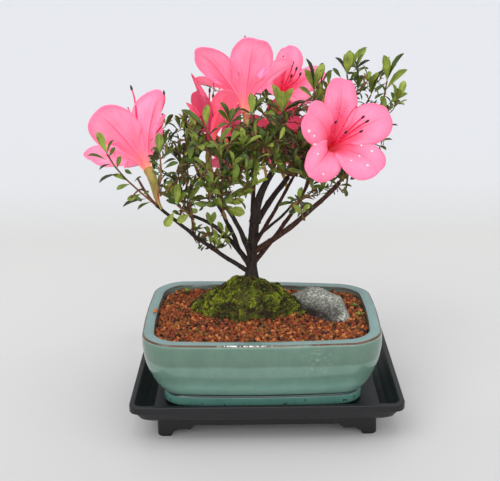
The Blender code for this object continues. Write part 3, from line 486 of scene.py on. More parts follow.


# %% [markdown]
# Celadon is a glassy blue-green glaze. It runs thin on edges, where the red clay shows as a brown line. Its
# colour up the wall also holds painted light: painted shade in the groove over the foot, where it is darkest,
# a lower wall made lighter against its own shade, and a darker band under the lip, a painted reflection. The
# pattern follows the skin, so it reads the piece's own map: v runs from 0 at the foot over the rim to 1
# inside, by the level's number.

# %% The pot
POT_LEVELS = (  # set in, corner radius, depth below the rim
    (0.0130, 0.012, 0.0480), (0.0122, 0.012, 0.0470), (0.0119, 0.012, 0.0444), (0.0121, 0.012, 0.0420),
    (0.0128, 0.013, 0.0400), (0.0100, 0.014, 0.0378), (0.0058, 0.016, 0.0305), (0.0024, 0.018, 0.0215),
    (0.0005, 0.020, 0.0125), (0.0000, 0.020, 0.0060), (0.0001, 0.020, 0.0020), (0.0004, 0.020, 0.0006),
    (0.0012, 0.0195, 0.0000), (0.0040, 0.0175, 0.0001), (0.0068, 0.0150, 0.0002), (0.0077, 0.014, 0.0010),
    (0.0086, 0.013, 0.0080), (0.0091, 0.013, 0.0150), (0.0208, 0.008, 0.0420))
SKIN_STEPS, WAVER = 150, 0.00022
FOOT_BAND, GROOVE, LIP_EDGE, LIP, MOUTH = np.array([2, 3.6, 11.3, 13, 15.5]) / (len(POT_LEVELS) - 1)

rows, places = smooth_rows(POT_LEVELS, SKIN_STEPS)
skin = placed(pot_grid(rows))
outward = unit((skin - skin.mean(1, keepdims=True)) * (1, 1, 0))
skin = skin + fractal(skin, 0.030, 3, 4)[..., None] * WAVER * outward
levels, columns = skin.shape[:2]
pot_map = np.stack(np.meshgrid(places, np.arange(columns) / columns, indexing="ij")[::-1], -1)
pot_mesh = close_ends(make_mesh("pot", skin, grid_faces(levels, columns, wrap=True), pot_map))
print("pot:", len(pot_mesh.polygons), "faces")


# %% The glaze
CHIPS_SEEN, PAINTED_GLINTS_SEEN, WALL_DEPTH = (318, 364), (243, 346), -0.0592
glaze, tree, shader = new_finish("celadon", 0.14, coat_weight=0.35, coat_roughness=0.06)
place = spot(tree)
wander = rescaled(tree, noise(tree, place, 45, 4), (0, 1), (-0.012, 0.012))
level_at = sum_of(tree, axis_of(tree, spot(tree, "UV"), "Y"), wander)
# Stops by level hold painted light: painted shade in the groove, the lower wall lighter against its shade,
# and a darker band under the lip that is a painted reflection
glazed = tones(
    tree, level_at, (0.0, 56, 88, 82), (FOOT_BAND - 0.02, 96, 146, 134), (FOOT_BAND + 0.05, 92, 140, 130),
    (GROOVE - 0.01, 44, 72, 66), (GROOVE + 0.03, 50, 82, 74), (GROOVE + 0.07, 156, 197, 183),
    (0.322, 148, 188, 173), (0.350, 122, 155, 141), (0.372, 111, 141, 127), (0.422, 110, 139, 126),
    (0.434, 92, 119, 104), (LIP_EDGE - 0.08, 94, 122, 107), (LIP_EDGE - 0.05, 116, 147, 132),
    (LIP, 122, 156, 154), (MOUTH, 104, 134, 128))
clouds = ramp(tree, noise(tree, place, 130, 6, 0.65), (0.30, (0.36, 0.42, 0.40)), (0.70, (0.62, 0.60, 0.60)))
glazed = mix(tree, 0.32, glazed, clouds, "OVERLAY")
drips = noise(tree, place, 60, 4, 0.6, stretch=(1.0, 1.0, 0.12))
glazed = mix(tree, 0.18, glazed, ramp(tree, drips, (0.35, (0.28, 0.36, 0.33)), (0.7, (0.70, 0.72, 0.70))),
             "OVERLAY")

# Each mark is a mask and a colour: the bare clay at the edges, then chips, painted highlights of reflected
# light along the lip, pits and freckles
bare = ramp(tree, level_at, (LIP_EDGE - 0.046, 0), (LIP_EDGE - 0.026, 1), (LIP_EDGE + 0.034, 1),
            (LIP_EDGE + 0.052, 0), (0.795, 0), (0.812, 0.7), (0.835, 0.7), (0.85, 0))
worn = ramp(tree, noise(tree, place, 70, 5, 0.6), (0.32, 0.35), (0.50, 1))
chips_far = distance_from(tree, place, seen_deep(CHIPS_SEEN, WALL_DEPTH))
near_chips = ramp(tree, chips_far, (0.003, 0.26), (0.015, 0))
chips = ramp(tree, noise(tree, place, 330, 4, 0.7), (0.54, 0), (0.64, 1))
# Painted highlights: white specks along the front of the lip, as reflected light would show there
painted_glints_far = distance_from(tree, place, seen_at(PAINTED_GLINTS_SEEN, POT_TOP))
near_painted_glints = ramp(tree, painted_glints_far, (0.010, 1), (0.018, 0))
painted_glints = ramp(tree, noise(tree, place, 520, 3, 0.6), (0.50, 0), (0.55, 1))
edge = ramp(tree, level_at, (LIP_EDGE - 0.020, 0), (LIP_EDGE, 1), (LIP_EDGE + 0.03, 1), (LIP_EDGE + 0.05, 0))
low = ramp(tree, level_at, (0.10, 0.9), (0.17, 0))
pits = ramp(tree, noise(tree, place, 330, 3), (0.62, 0), (0.66, 1))
freckles = ramp(tree, noise(tree, place, 900, 2), (0.715, 0), (0.76, 1))
for mask, colour in ((both(tree, bare, worn), (92, 56, 38)), (both(tree, near_chips, chips), (176, 200, 186)),
                     (both(tree, both(tree, near_painted_glints, painted_glints), edge), (250, 252, 252)),
                     (both(tree, low, pits), (26, 40, 36)), (freckles, (58, 74, 60))):
    glazed = mix(tree, mask, glazed, srgb(*colour))
paint(tree, shader, glazed)
bump(tree, shader, noise(tree, place, 180, 4), 0.10, 0.0006)
pot = add_piece("pot_glazed", pot_mesh, glaze)
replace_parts(pot, "pot")
print("glaze: the brown line lies at", round(LIP_EDGE, 3), "of the way up")

# %% [markdown]
# The pot is filled with angular crumbs of fired clay. Each is a ball of twenty faces, pulled out of round at
# every corner and turned at random. They lie on a jittered lattice in two layers, so that the gaps between
# them are dark, and they are dealt out into a few reds and browns.

# %% Helpers for loose things
GOLDEN_TURN = math.radians(137.5)


def icosahedron():
    """Twelve corners from golden rectangles, and the twenty faces of their hull."""
    golden = (1 + math.sqrt(5)) / 2
    corners = np.array([(s, t * golden, 0) for s in (-1, 1) for t in (-1, 1)], float)
    corners = np.concatenate([np.roll(corners, k, axis=1) for k in range(3)])
    work = bmesh.new()
    verts = [work.verts.new(corner) for corner in corners / np.linalg.norm(corners[0])]
    bmesh.ops.convex_hull(work, input=verts)
    work.verts.index_update()
    faces = np.array([[vert.index for vert in face.verts] for face in work.faces])
    points = np.array([tuple(vert.co) for vert in work.verts])
    work.free()
    outward = np.cross(points[faces[:, 1]] - points[faces[:, 0]], points[faces[:, 2]] - points[faces[:, 0]])
    inside_out = (outward * points[faces[:, 0]]).sum(1) < 0
    faces[inside_out] = faces[inside_out][:, ::-1]
    return points, faces


def random_turns(count, rng):
    """Rotation matrices spread evenly over all turns, from orthogonal parts of random matrices."""
    turns = np.linalg.qr(rng.normal(size=(count, 3, 3)))[0]
    return turns * np.sign(np.linalg.det(turns))[:, None, None]


def lattice(low, high, spacing, rng):
    """Points of a hexagonal lattice over a rectangle, each pushed off its place a little."""
    jitter, row_gap = 0.32, 0.866
    columns, rows = int((high[0] - low[0]) / spacing) + 1, int((high[1] - low[1]) / (spacing * row_gap)) + 1
    column, row = np.meshgrid(np.arange(columns), np.arange(rows), indexing="ij")
    x, y = low[0] + (column + 0.5 * (row % 2)) * spacing, low[1] + row * spacing * row_gap
    points = np.stack([x, y], -1).reshape(-1, 2)
    return points + rng.uniform(-jitter, jitter, points.shape) * spacing


def depth_in_pot(x, y, inset):
    """Distance out of the pot's inner outline, negative inside: the level's formula turned round."""
    half_x, half_y = POT_LENGTH / 2 - inset, POT_WIDTH / 2 - inset
    flat_x = x - 0.7 * POT_BULGE * (1 - (y / half_y) ** 2) * x / half_x
    skew = np.where(y > 0, 1 - POT_SKEW * x / half_x, 1)
    flat_y = (y - POT_BULGE * (1 - (x / half_x) ** 2) * y / half_y) / skew
    corner = 0.014
    over = np.stack([np.abs(flat_x) - half_x + corner, np.abs(flat_y) - half_y + corner], -1)
    return np.linalg.norm(np.maximum(over, 0), axis=-1) + np.minimum(over.max(-1), 0) - corner


print("an icosahedron has", len(icosahedron()[1]), "faces")

# %% The clay crumbs
SOIL_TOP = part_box("moss")[0].z - 0.0003
MOUND_PLACE, MOUND_SIZE = np.array([-0.009, 0.0105]), np.array([0.041, 0.0245, 0.0215])
ROCK_PLACE, ROCK_SIZE, ROCK_TURN = np.array([0.0405, 0.010]), np.array([0.0255, 0.0150]), math.radians(-48)
CRUMB_LAYERS = ((0.00252, 0.0004, 0.00170), (0.0029, 0.0020, 0.00180))  # spacing, depth in the soil, size
CRUMB_TINTS = {  # each tint with its share of the crumbs
    "crumbs_rust": (160, 82, 36, 0.26), "crumbs_red": (138, 62, 30, 0.24),
    "crumbs_brown": (108, 60, 28, 0.18), "crumbs_clay": (206, 124, 66, 0.12),
    "crumbs_ochre": (144, 96, 38, 0.10), "crumbs_dark": (58, 32, 18, 0.10),
}
# How near crumbs come to the wall, and the shares of the mound and of the stone that they leave clear
WALL_GAP, MOUND_SHARE, ROCK_SHARE = 0.0011, 0.93, 0.86
STRAY_SEEN = (((155, 311), POT_TOP + 0.0012, 0.0019), ((258, 301), SOIL_TOP + 0.011, 0.0018))


def in_mound(points, scale):
    """Whether each point lies under the mossy mound."""
    return np.linalg.norm((points[..., :2] - MOUND_PLACE) / (MOUND_SIZE[:2] * scale), axis=-1) < 1


def in_rock(points, scale):
    """Whether each point lies under the stone, in the stone's own turned axes."""
    offset = points[..., :2] - ROCK_PLACE
    along = offset @ np.array([math.cos(ROCK_TURN), math.sin(ROCK_TURN)])
    aside = offset @ np.array([-math.sin(ROCK_TURN), math.cos(ROCK_TURN)])
    return np.hypot(along / (ROCK_SIZE[0] * scale), aside / (ROCK_SIZE[1] * scale)) < 1


def soil_height(points):
    """The soil's own relief: low hills, a dip along the wall and a rise towards the mound."""
    hills = fractal(np.c_[points, np.zeros(len(points))], 0.022, 3, 8) * 0.0006
    wall = -depth_in_pot(points[:, 0], points[:, 1], POT_WALL)
    far = np.linalg.norm((points - MOUND_PLACE) / MOUND_SIZE[:2], axis=1)
    return SOIL_TOP + hills - 0.0009 * np.exp(-wall / 0.004) + 0.0012 * np.exp(-np.maximum(far - 1, 0) * 9)


rng = np.random.default_rng(31)
reach = np.array([POT_LENGTH / 2, POT_WIDTH / 2])
layers = []
for spacing, sink, size in CRUMB_LAYERS:
    spots = lattice(-reach, reach, spacing, rng)
    keep = depth_in_pot(spots[:, 0], spots[:, 1], POT_WALL) < -WALL_GAP
    keep &= ~in_mound(spots, MOUND_SHARE) & ~in_rock(spots, ROCK_SHARE)
    spots = spots[keep]
    layers.append(np.c_[spots, soil_height(spots) - sink, rng.uniform(0.72, 1.22, len(spots)) * size])
layers.append([[*seen_at(pixel, height), size] for pixel, height, size in STRAY_SEEN])
crumbs = np.concatenate(layers)
ball, ball_faces = icosahedron()
shape = ball * rng.uniform(0.58, 1.20, (len(crumbs), 12, 1)) * rng.uniform(0.60, 1.24, (len(crumbs), 1, 3))
shape = np.einsum("nij,nkj->nki", random_turns(len(crumbs), rng), shape) * crumbs[:, None, 3:]
dealt = rng.choice(len(CRUMB_TINTS), len(crumbs), p=[tint[3] for tint in CRUMB_TINTS.values()])
for index, (name, tint) in enumerate(CRUMB_TINTS.items()):
    mine = dealt == index
    clay, tree, shader = new_finish(name, 0.88)
    pores = noise(tree, spot(tree), 1400, 4, 0.7)
    paint(tree, shader, ramp(tree, pores, (0.34, shade(tint[:3], 0.72)), (0.66, shade(tint[:3], 1.12))))
    bump(tree, shader, pores, 0.5, 0.0002)
    crumb_mesh = joined_mesh(name, shape[mine] + crumbs[mine, None, :3], ball_faces)
    piece = add_piece(name, crumb_mesh, clay, smooth=False)
    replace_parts(piece, "grit")
print("clay crumbs:", len(crumbs), "in", len(CRUMB_TINTS), "tints")

# %% [markdown]
# Under the crumbs lies the packed soil. It shows only as darkness between them, so a plain uneven sheet that
# follows the soil's relief a little lower down is enough, closed by a skirt along the pot's wall.

# %% The packed soil
soil_rows, _ = smooth_rows([(0.0205, 0.008, 0.0405), (0.0089, 0.013, 0.0150), (0.0083, 0.014, 0.0060)], 6)
rings = pot_grid(soil_rows)
inward = np.linspace(1, 0.02, 24)[1:, None, None]
sheet = rings[-1][None] * np.concatenate([np.ones((1, 1, 1)), inward]) * (1, 1, 0)
sheet[..., 2] = soil_height(sheet[..., :2].reshape(-1, 2)).reshape(sheet.shape[:2]) - 0.0022
bed = np.concatenate([rings, sheet])
packed, tree, shader = new_finish("packed_soil", 0.95)
clods = noise(tree, spot(tree), 700, 5, 0.7)
paint(tree, shader, tones(tree, clods, (0.3, 34, 20, 14), (0.7, 92, 50, 34)))
bump(tree, shader, clods, 0.6, 0.0006)
bed_mesh = close_ends(make_mesh("soil", placed(bed), grid_faces(len(bed), bed.shape[1], wrap=True)))
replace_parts(add_piece("packed_soil", bed_mesh, packed), "grit")
print("packed soil:", len(bed_mesh.polygons), "faces")

# %% [markdown]
# The trunk rises from a mound of moss over its roots. The mound is a round hill whose skin is pushed out by
# noise, coarse for its lumps and fine for its crumbly surface. Real moss is thousands of tiny shoots, so the
# same skin is then covered with tufts: each is a star of narrow leaves that stands nearly square to it.

# %% The moss mound
MOUND_SLOPE = 2.0
HUMP_PLACE, HUMP_REACH, HUMP_HEIGHT = np.array([-0.0070, -0.0035]), 0.0088, 0.0118
MOSS_ROWS, MOSS_COLUMNS = 70, 220


def mound_skin(turn, lift):
    """A hill, 1 less the distance out squared, whose skin is pushed out by lumps and by fine noise."""
    out = np.cos(lift)
    plain = np.stack([np.cos(turn) * out, np.sin(turn) * out, np.sin(lift) ** MOUND_SLOPE], -1)
    size = plain * MOUND_SIZE
    lumps = fractal(size, 0.012, 3, 21) * 0.13 + value_noise(size, 0.0055, 5) * 0.08
    round_it = np.stack([np.cos(turn), np.sin(turn), 0 * turn], -1)
    skirt = 1 + 0.16 * fractal(round_it, 0.5, 3, 2) * out ** 4
    skin = size * (1 + lumps[..., None]) * np.stack([skirt, skirt, np.ones_like(skirt)], -1)
    skin = skin + np.array([*MOUND_PLACE, SOIL_TOP - 0.0004])
    hump = np.exp(-((skin[..., :2] - HUMP_PLACE) ** 2).sum(-1) / HUMP_REACH ** 2) * HUMP_HEIGHT
    return skin + np.stack([0 * hump, 0 * hump, hump], -1)


lift, turn = np.meshgrid(np.linspace(0.0, math.pi / 2 - 0.01, MOSS_ROWS),
                         np.linspace(0, 2 * math.pi, MOSS_COLUMNS, endpoint=False), indexing="ij")
moss_finish, tree, shader = new_finish("moss_ground", 0.95)
patches = noise(tree, spot(tree), 120, 5, 0.65)
paint(tree, shader, tones(tree, patches, (0.32, 44, 38, 14), (0.50, 72, 72, 20), (0.68, 104, 108, 28)))
bump(tree, shader, noise(tree, spot(tree), 900, 4), 0.8, 0.0008)
moss_faces = grid_faces(MOSS_ROWS, MOSS_COLUMNS, wrap=True)
ground = close_ends(make_mesh("moss", placed(mound_skin(turn, lift)), moss_faces))
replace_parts(add_piece("moss_mound", ground, moss_finish), "moss")
print("moss mound:", len(ground.polygons), "faces")

# %% Tufts of moss
MOSS_TINTS = {  # from the lowest patches to the highest
    "moss_brown": (54, 36, 20), "moss_deep": (46, 56, 14), "moss_olive": (100, 88, 28),
    "moss_green": (104, 122, 26), "moss_bright": (160, 168, 40),
}
MOSS_QUANTILES = (0.22, 0.42, 0.58, 0.80)
TUFTS, TUFT_LEAVES, TUFT_STEP = 5200, 7, 0.02
rng = np.random.default_rng(47)
tuft_turn = rng.uniform(0, 2 * math.pi, TUFTS)
tuft_lift = np.arccos(np.sqrt(rng.uniform(0, 1, TUFTS)))
root = mound_skin(tuft_turn, tuft_lift)
beside = mound_skin(tuft_turn + TUFT_STEP / np.maximum(np.cos(tuft_lift), 0.2), tuft_lift) - root
uphill = mound_skin(tuft_turn, np.minimum(tuft_lift + TUFT_STEP, math.pi / 2 - 1e-3)) - root
normal = unit(np.cross(beside, uphill))
keep = ~in_rock(root, 0.80) & (depth_in_pot(root[:, 0], root[:, 1], POT_WALL) < -0.0008)
root, normal = root[keep], normal[keep]
normal = unit(normal + rng.normal(0, 0.28, normal.shape) + np.array([0, 0, 0.25]))
side = unit(np.cross(normal, np.array([0.31, 0.95, 0.02])))
other = np.cross(normal, side)
length = rng.uniform(0.0010, 0.0023, len(root))
fan = GOLDEN_TURN * np.arange(TUFT_LEAVES)[None] + rng.uniform(0, 6, (len(root), 1))
lean = np.linspace(0.35, 1.15, TUFT_LEAVES)[None] + rng.uniform(-0.12, 0.12, fan.shape)
out = side[:, None] * np.cos(fan)[..., None] + other[:, None] * np.sin(fan)[..., None]
way = normal[:, None] * np.cos(lean)[..., None] + out * np.sin(lean)[..., None]
broad = unit(np.cross(way, out))
size = length[:, None, None]
start = root[:, None] - normal[:, None] * 0.0004
high = start + way * size * 0.62
blade = np.stack([start + broad * size * 0.10, start - broad * size * 0.10, high - broad * size * 0.13,
                  high + broad * size * 0.13, start + way * size - normal[:, None] * size * 0.10], 2)
blade_faces = np.array([(0, 1, 2), (0, 2, 3), (3, 2, 4)])
patch = fractal(root, 0.0060, 3, 61) + rng.normal(0, 0.20, len(root))
patch = patch + 0.25 * (root[:, 2] - SOIL_TOP) / MOUND_SIZE[2]
dealt = np.digitize(patch, np.quantile(patch, MOSS_QUANTILES))
for index, (name, tint) in enumerate(MOSS_TINTS.items()):
    tuft_finish, tree, shader = new_finish(name, 0.7, subsurface_weight=0.05)
    paint(tree, shader, ramp(tree, noise(tree, spot(tree), 500, 3), (0.35, shade(tint, 0.75)),
                             (0.65, shade(tint, 1.15))))
    tuft_mesh = joined_mesh(name, blade[dealt == index].reshape(-1, 5, 3), blade_faces)
    piece = add_piece(name, tuft_mesh, tuft_finish, smooth=False)
    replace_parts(piece, "moss")
print("moss tufts:", len(root), "of", TUFT_LEAVES, "leaves")

# %% [markdown]
# The stone is a broken piece of grey rock. Its solid has the large faces. A copy is cut finer and every
# point is pushed along its normal by noise, which leaves the edges in place but breaks them up. Five planes
# then cut it flat where the stone once split.

# %% The stone
def cut_finer(mesh, cuts):
    """Splits every edge evenly, so that a coarse solid can carry relief."""
    work = bmesh.new()
    work.from_mesh(mesh)
    bmesh.ops.triangulate(work, faces=work.faces)
    bmesh.ops.subdivide_edges(work, edges=work.edges, cuts=cuts, use_grid_fill=True)
    bmesh.ops.recalc_face_normals(work, faces=work.faces)
    work.to_mesh(mesh)
    work.free()
    return mesh


STONE_FINENESS, STONE_RISE, STONE_STRETCH, STONE_SHIFT = 7, 1.26, 0.15, np.array([-0.0020, -0.0040, 0.0])
# Faces where the stone split: the way each faces and the share of the stone's reach that is left there
STONE_CUTS = ((-0.66, -0.70, 0.10, 0.80), (-0.10, -0.62, 0.78, 0.74), (0.86, -0.10, 0.50, 0.86),
              (0.46, -0.80, 0.40, 0.90), (-0.30, 0.60, 0.74, 0.78))
DARK_SIDE_WAY = (-0.66, -0.72, 0.0)  # the side that is darker low down
stone_mesh = cut_finer(merged_copy("rock"), STONE_FINENESS)
points = np.array([vert.co[:] for vert in stone_mesh.vertices])
normals = np.array([vert.normal[:] for vert in stone_mesh.vertices])
relief = fractal(points, 0.0085, 5, 71) * 0.0012 + value_noise(points, 0.0011, 9) * 0.00018
points = points + normals * relief[:, None]
heart = placed(np.array([*ROCK_PLACE, SOIL_TOP]))
long_way = np.array([math.cos(ROCK_TURN), math.sin(ROCK_TURN), 0.0])
points = points + long_way * ((points - heart) @ long_way * STONE_STRETCH)[:, None] + STONE_SHIFT
points[:, 2] = SOIL_TOP + (points[:, 2] - SOIL_TOP) * STONE_RISE
for *way, kept in STONE_CUTS:
    way = unit(np.array(way))
    height = (points - heart) @ way
    points = points - way * np.maximum(height - height.max() * kept, 0)[:, None] * 0.9
stone_mesh.vertices.foreach_set("co", points.astype(np.float32).ravel())
stone_finish, tree, shader = new_finish("grey_stone", 0.82)
place = spot(tree)
cloud = tones(tree, noise(tree, place, 110, 5, 0.7), (0.30, 128, 130, 118), (0.50, 164, 167, 157),
              (0.70, 196, 200, 192))
flecks = tones(tree, noise(tree, place, 820, 3, 0.7), (0.38, 36, 38, 36), (0.5, 128, 128, 128),
               (0.62, 240, 242, 238))
# Darker low down on the side that faces left and forward
low = rescaled(tree, axis_of(tree, place, "Z"), (SOIL_TOP + 0.0040, SOIL_TOP + 0.0130), (1, 0))
facing = add_node(tree, "VectorMath", {0: spot(tree, "Normal"), 1: DARK_SIDE_WAY}, operation="DOT_PRODUCT")
under = both(tree, ramp(tree, low, (0, 0), (1, 1)), ramp(tree, facing.outputs["Value"], (0.30, 0), (0.58, 1)))
darker_low_side = both(tree, ramp(tree, noise(tree, place, 300, 4, 0.7), (0.36, 0.70), (0.52, 1)), under)
paint(tree, shader, mix(tree, darker_low_side, mix(tree, 0.66, cloud, flecks, "OVERLAY"), srgb(38, 30, 24)))
bump(tree, shader, noise(tree, place, 900, 6, 0.7), 0.7, 0.0006)
stone = add_piece("stone", stone_mesh, stone_finish)
stone.data.set_sharp_from_angle(angle=math.radians(24))
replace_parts(stone, "rock")
print("stone:", len(stone_mesh.polygons), "faces")

# %% [markdown]
# Trunk and boughs follow the same rule as their solids: a limb leaves its parent at a share of the parent's
# length, and its heading and rise change evenly to its tip. Here each path is made smooth and swept as a
# tube whose skin has furrows that run along it, knots where twigs once were, and a collar at its foot.

# %% How limbs grow
Limb = namedtuple("Limb", "parent along heading rise heading_end rise_end length thick thin")
TRUNK_FOOT = np.array([-0.0075, 0.0045, SOIL_TOP])
LIMBS = {
    "trunk": Limb(None, 0.0, -22, 90, -22, 83, 0.0648, 0.0038, 0.0033),
    "leader_left": Limb("trunk", 1.0, -22, 85, 0, 55, 0.0370, 0.0031, 0.0019),
    "leader_right": Limb("trunk", 0.955, 31, 52, 35, 42, 0.0405, 0.0023, 0.0015),
    "bough_right_low": Limb("trunk", 0.665, -22, 34, 11, 46, 0.0770, 0.0020, 0.0014),
    "bough_right_rise": Limb("trunk", 0.515, 33, 42, -25, 67, 0.0717, 0.0016, 0.0011),
    "bough_right_back": Limb("trunk", 0.72, 63, 24, 51, 45, 0.0638, 0.0015, 0.0011),
    "bough_front": Limb("trunk", 0.82, -56, 31, -55, 42, 0.0531, 0.0010, 0.0008),
    "bough_left_low": Limb("trunk", 0.44, 196, 36, 200, 45, 0.0826, 0.0016, 0.0010),
    "bough_left_back": Limb("trunk", 0.50, 146, 53, 138, 1, 0.0640, 0.0019, 0.0010),
    "bough_left_front": Limb("trunk", 0.58, 247, 62, 235, 47, 0.0582, 0.0018, 0.0013),
    "bough_left_rise": Limb("bough_left_back", 0.24, 250, 61, 201, 58, 0.0606, 0.0015, 0.0010),
    "bough_left_spur": Limb("bough_left_back", 0.42, 205, 8, 190, 30, 0.0120, 0.0009, 0.0007),
    "bough_back": Limb("trunk", 0.78, 92, 40, 80, 56, 0.0640, 0.0017, 0.0012),
}


def direction(heading, rise):
    """Unit vectors at headings and rises in degrees."""
    turn, lift = np.radians(heading), np.radians(rise)
    return np.stack([np.cos(lift) * np.cos(turn), np.cos(lift) * np.sin(turn), np.sin(lift)], -1)


LIMB_STEPS = 8


def limb_path(foot, limb):
    """Even steps from the foot, each a little further round from the first heading and rise to the last."""
    share = (np.arange(LIMB_STEPS) + 0.5) / LIMB_STEPS
    ways = direction(limb.heading + (limb.heading_end - limb.heading) * share,
                     limb.rise + (limb.rise_end - limb.rise) * share)
    return foot + np.concatenate([np.zeros((1, 3)), np.cumsum(ways * limb.length / LIMB_STEPS, axis=0)])


def point_along(path, share):
    """The point at a share of an evenly stepped path."""
    place = share * (len(path) - 1)
    return np.stack([np.interp(place, np.arange(len(path)), path[:, axis]) for axis in range(3)], -1)


paths = {}
for name, limb in LIMBS.items():
    foot = TRUNK_FOOT if limb.parent is None else point_along(paths[limb.parent], limb.along)
    paths[name] = limb_path(foot, limb)
    print(f"{name}: tip at {paths[name][-1].round(4)}")


# %% Tubes along a path
def sides_along(path):
    """Two unit vectors square to a path at each point, from one guide that the path never meets."""
    way = unit(np.gradient(path, axis=-2))
    guide = np.eye(3)[np.argmin(np.abs(way).max(axis=-2), axis=-1)][..., None, :]
    up = unit(guide - way * (way * guide).sum(-1, keepdims=True))
    return up, np.cross(way, up)


def tube_grid(path, radii, sides):
    """Rings round a path: the path's point plus radius times cosine and sine of the turn."""
    up, aside = sides_along(path)
    turns = 2 * np.pi * np.arange(sides) / sides
    ring = up[..., None, :] * np.cos(turns)[:, None] + aside[..., None, :] * np.sin(turns)[:, None]
    radii = np.asarray(radii)
    if radii.ndim < ring.ndim - 1:
        radii = radii[..., None]
    return path[..., None, :] + ring * radii[..., None]


def stacked(skins):
    """The points and the faces of tubes of any size, one after another."""
    skins = list(skins)
    firsts = np.cumsum([0] + [skin[..., 0].size for skin in skins])
    faces = [grid_faces(*skin.shape[:2], wrap=True, start=first) for skin, first in zip(skins, firsts)]
    return np.concatenate([skin.reshape(-1, 3) for skin in skins]), np.concatenate(faces)


BARK_STRETCH = 0.22  # bark runs along its limb, so its noise changes this much slower that way


def bark_radii(path, limb, sides):
    """A taper with a collar at the foot, furrows along the limb and a few knots, for every turn round it."""
    share = np.linspace(0, 1, len(path))[:, None]
    turns = 2 * np.pi * np.arange(sides)[None] / sides
    radii = (limb.thick + (limb.thin - limb.thick) * share) * (1 + 0.22 * np.exp(-share * 12))
    round_it = (np.cos(turns) * limb.thick, np.sin(turns) * limb.thick, share * limb.length * BARK_STRETCH)
    spot = np.stack(np.broadcast_arrays(*round_it), -1)
    furrows = fractal(spot, limb.thick * 0.62, 4, int(limb.length * 1e5) % 97)
    spot[..., 2] /= BARK_STRETCH
    knots = np.maximum(value_noise(spot, limb.thick * 2.2, int(limb.length * 1e5) % 53) - 0.35, 0)
    return radii * (1 + 0.13 * furrows + 0.42 * knots)


BARK_STEPS = {"trunk": (150, 40), "leader_left": (80, 24)}
FLARE_REACH, FLARE_GROW = 0.034, 2.1
skins_of = {}
for name, limb in LIMBS.items():
    steps, sides = BARK_STEPS.get(name, (110, 16))
    smooth_path, _ = smooth_rows(paths[name], steps)
    along = np.linspace(0, 1, steps)[:, None]
    sway = np.stack([value_noise(smooth_path, 0.011, seed) for seed in (3, 5, 7)], -1)
    smooth_path = smooth_path + sway * 0.00045 * np.sin(np.pi * along) ** 0.5
    radii = bark_radii(smooth_path, limb, sides)
    skin = tube_grid(smooth_path, radii, sides)
    if limb.parent is None:
        low = np.maximum(0, 1 - (skin[..., 2:] - SOIL_TOP) / FLARE_REACH) ** 1.2
        out = (skin - TRUNK_FOOT) * (1, 1, 0)
        ridge = 1 + 0.18 * np.cos(5 * np.arctan2(out[..., 1:2], out[..., :1]))
        skin = skin + out * low * FLARE_GROW * ridge
    skins_of[name] = skin
print("limbs:", len(skins_of))

# %% [markdown]
# Old bark is grey-brown and nearly black where it is damp, and it flakes along the limb. The boughs of the
# right side are a few years younger, and their thinner bark is reddish. Both are the same net of nodes, with
# fibres that are stretched along the rise of the limbs and with larger blotches over them.

# %% Bark
def bark_finish(name, dark, middle, light, aged):
    """Bark fibres in three tones, with blotches of an aged tone."""
    made, tree, shader = new_finish(name, 0.80, specular_ior_level=0.35)
    fibres = noise(tree, spot(tree), 900, 5, 0.7, stretch=(1.0, 1.0, BARK_STRETCH))
    wood = tones(tree, fibres, (0.32, *dark), (0.52, *middle), (0.72, *light))
    blotches = ramp(tree, noise(tree, spot(tree), 130, 4, 0.6), (0.50, 0), (0.70, 0.6))
    paint(tree, shader, mix(tree, blotches, wood, srgb(*aged)))
    bump(tree, shader, fibres, 0.75, 0.0005)
    return made


OLD_BARK = bark_finish("bark_old", (20, 14, 13), (41, 30, 28), (76, 59, 51), (56, 50, 36))
RED_BARK = bark_finish("bark_red", (36, 18, 14), (66, 35, 28), (102, 66, 51), (64, 47, 32))
BARK_GROUPS = {"old_wood": (OLD_BARK, [name for name in LIMBS if "right" not in name or "leader" in name])}
BARK_GROUPS["red_wood"] = (RED_BARK, [name for name in LIMBS if name not in BARK_GROUPS["old_wood"][1]])
for title, (finish, names) in BARK_GROUPS.items():
    points, faces = stacked(skins_of[name] for name in names)
    wood_mesh = close_ends(make_mesh(title, placed(points), faces))
    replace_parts(add_piece(title, wood_mesh, finish), *names)
    print(f"{title}: {len(names)} limbs, {len(wood_mesh.polygons)} faces")

# %% [markdown]
# An azalea bloom is one funnel whose five lobes part near the rim and overlap at their sides. Each lobe is
# its own grid: one parameter runs across it, the other from the foot of the tube to the rim. The way out from
# the axis is blended between this lobe's tip and the next one's, and the same wall profile as in the solid
# says how far along the axis and how far out each point lies. Waves, a midrib and a rolled rim come on top.

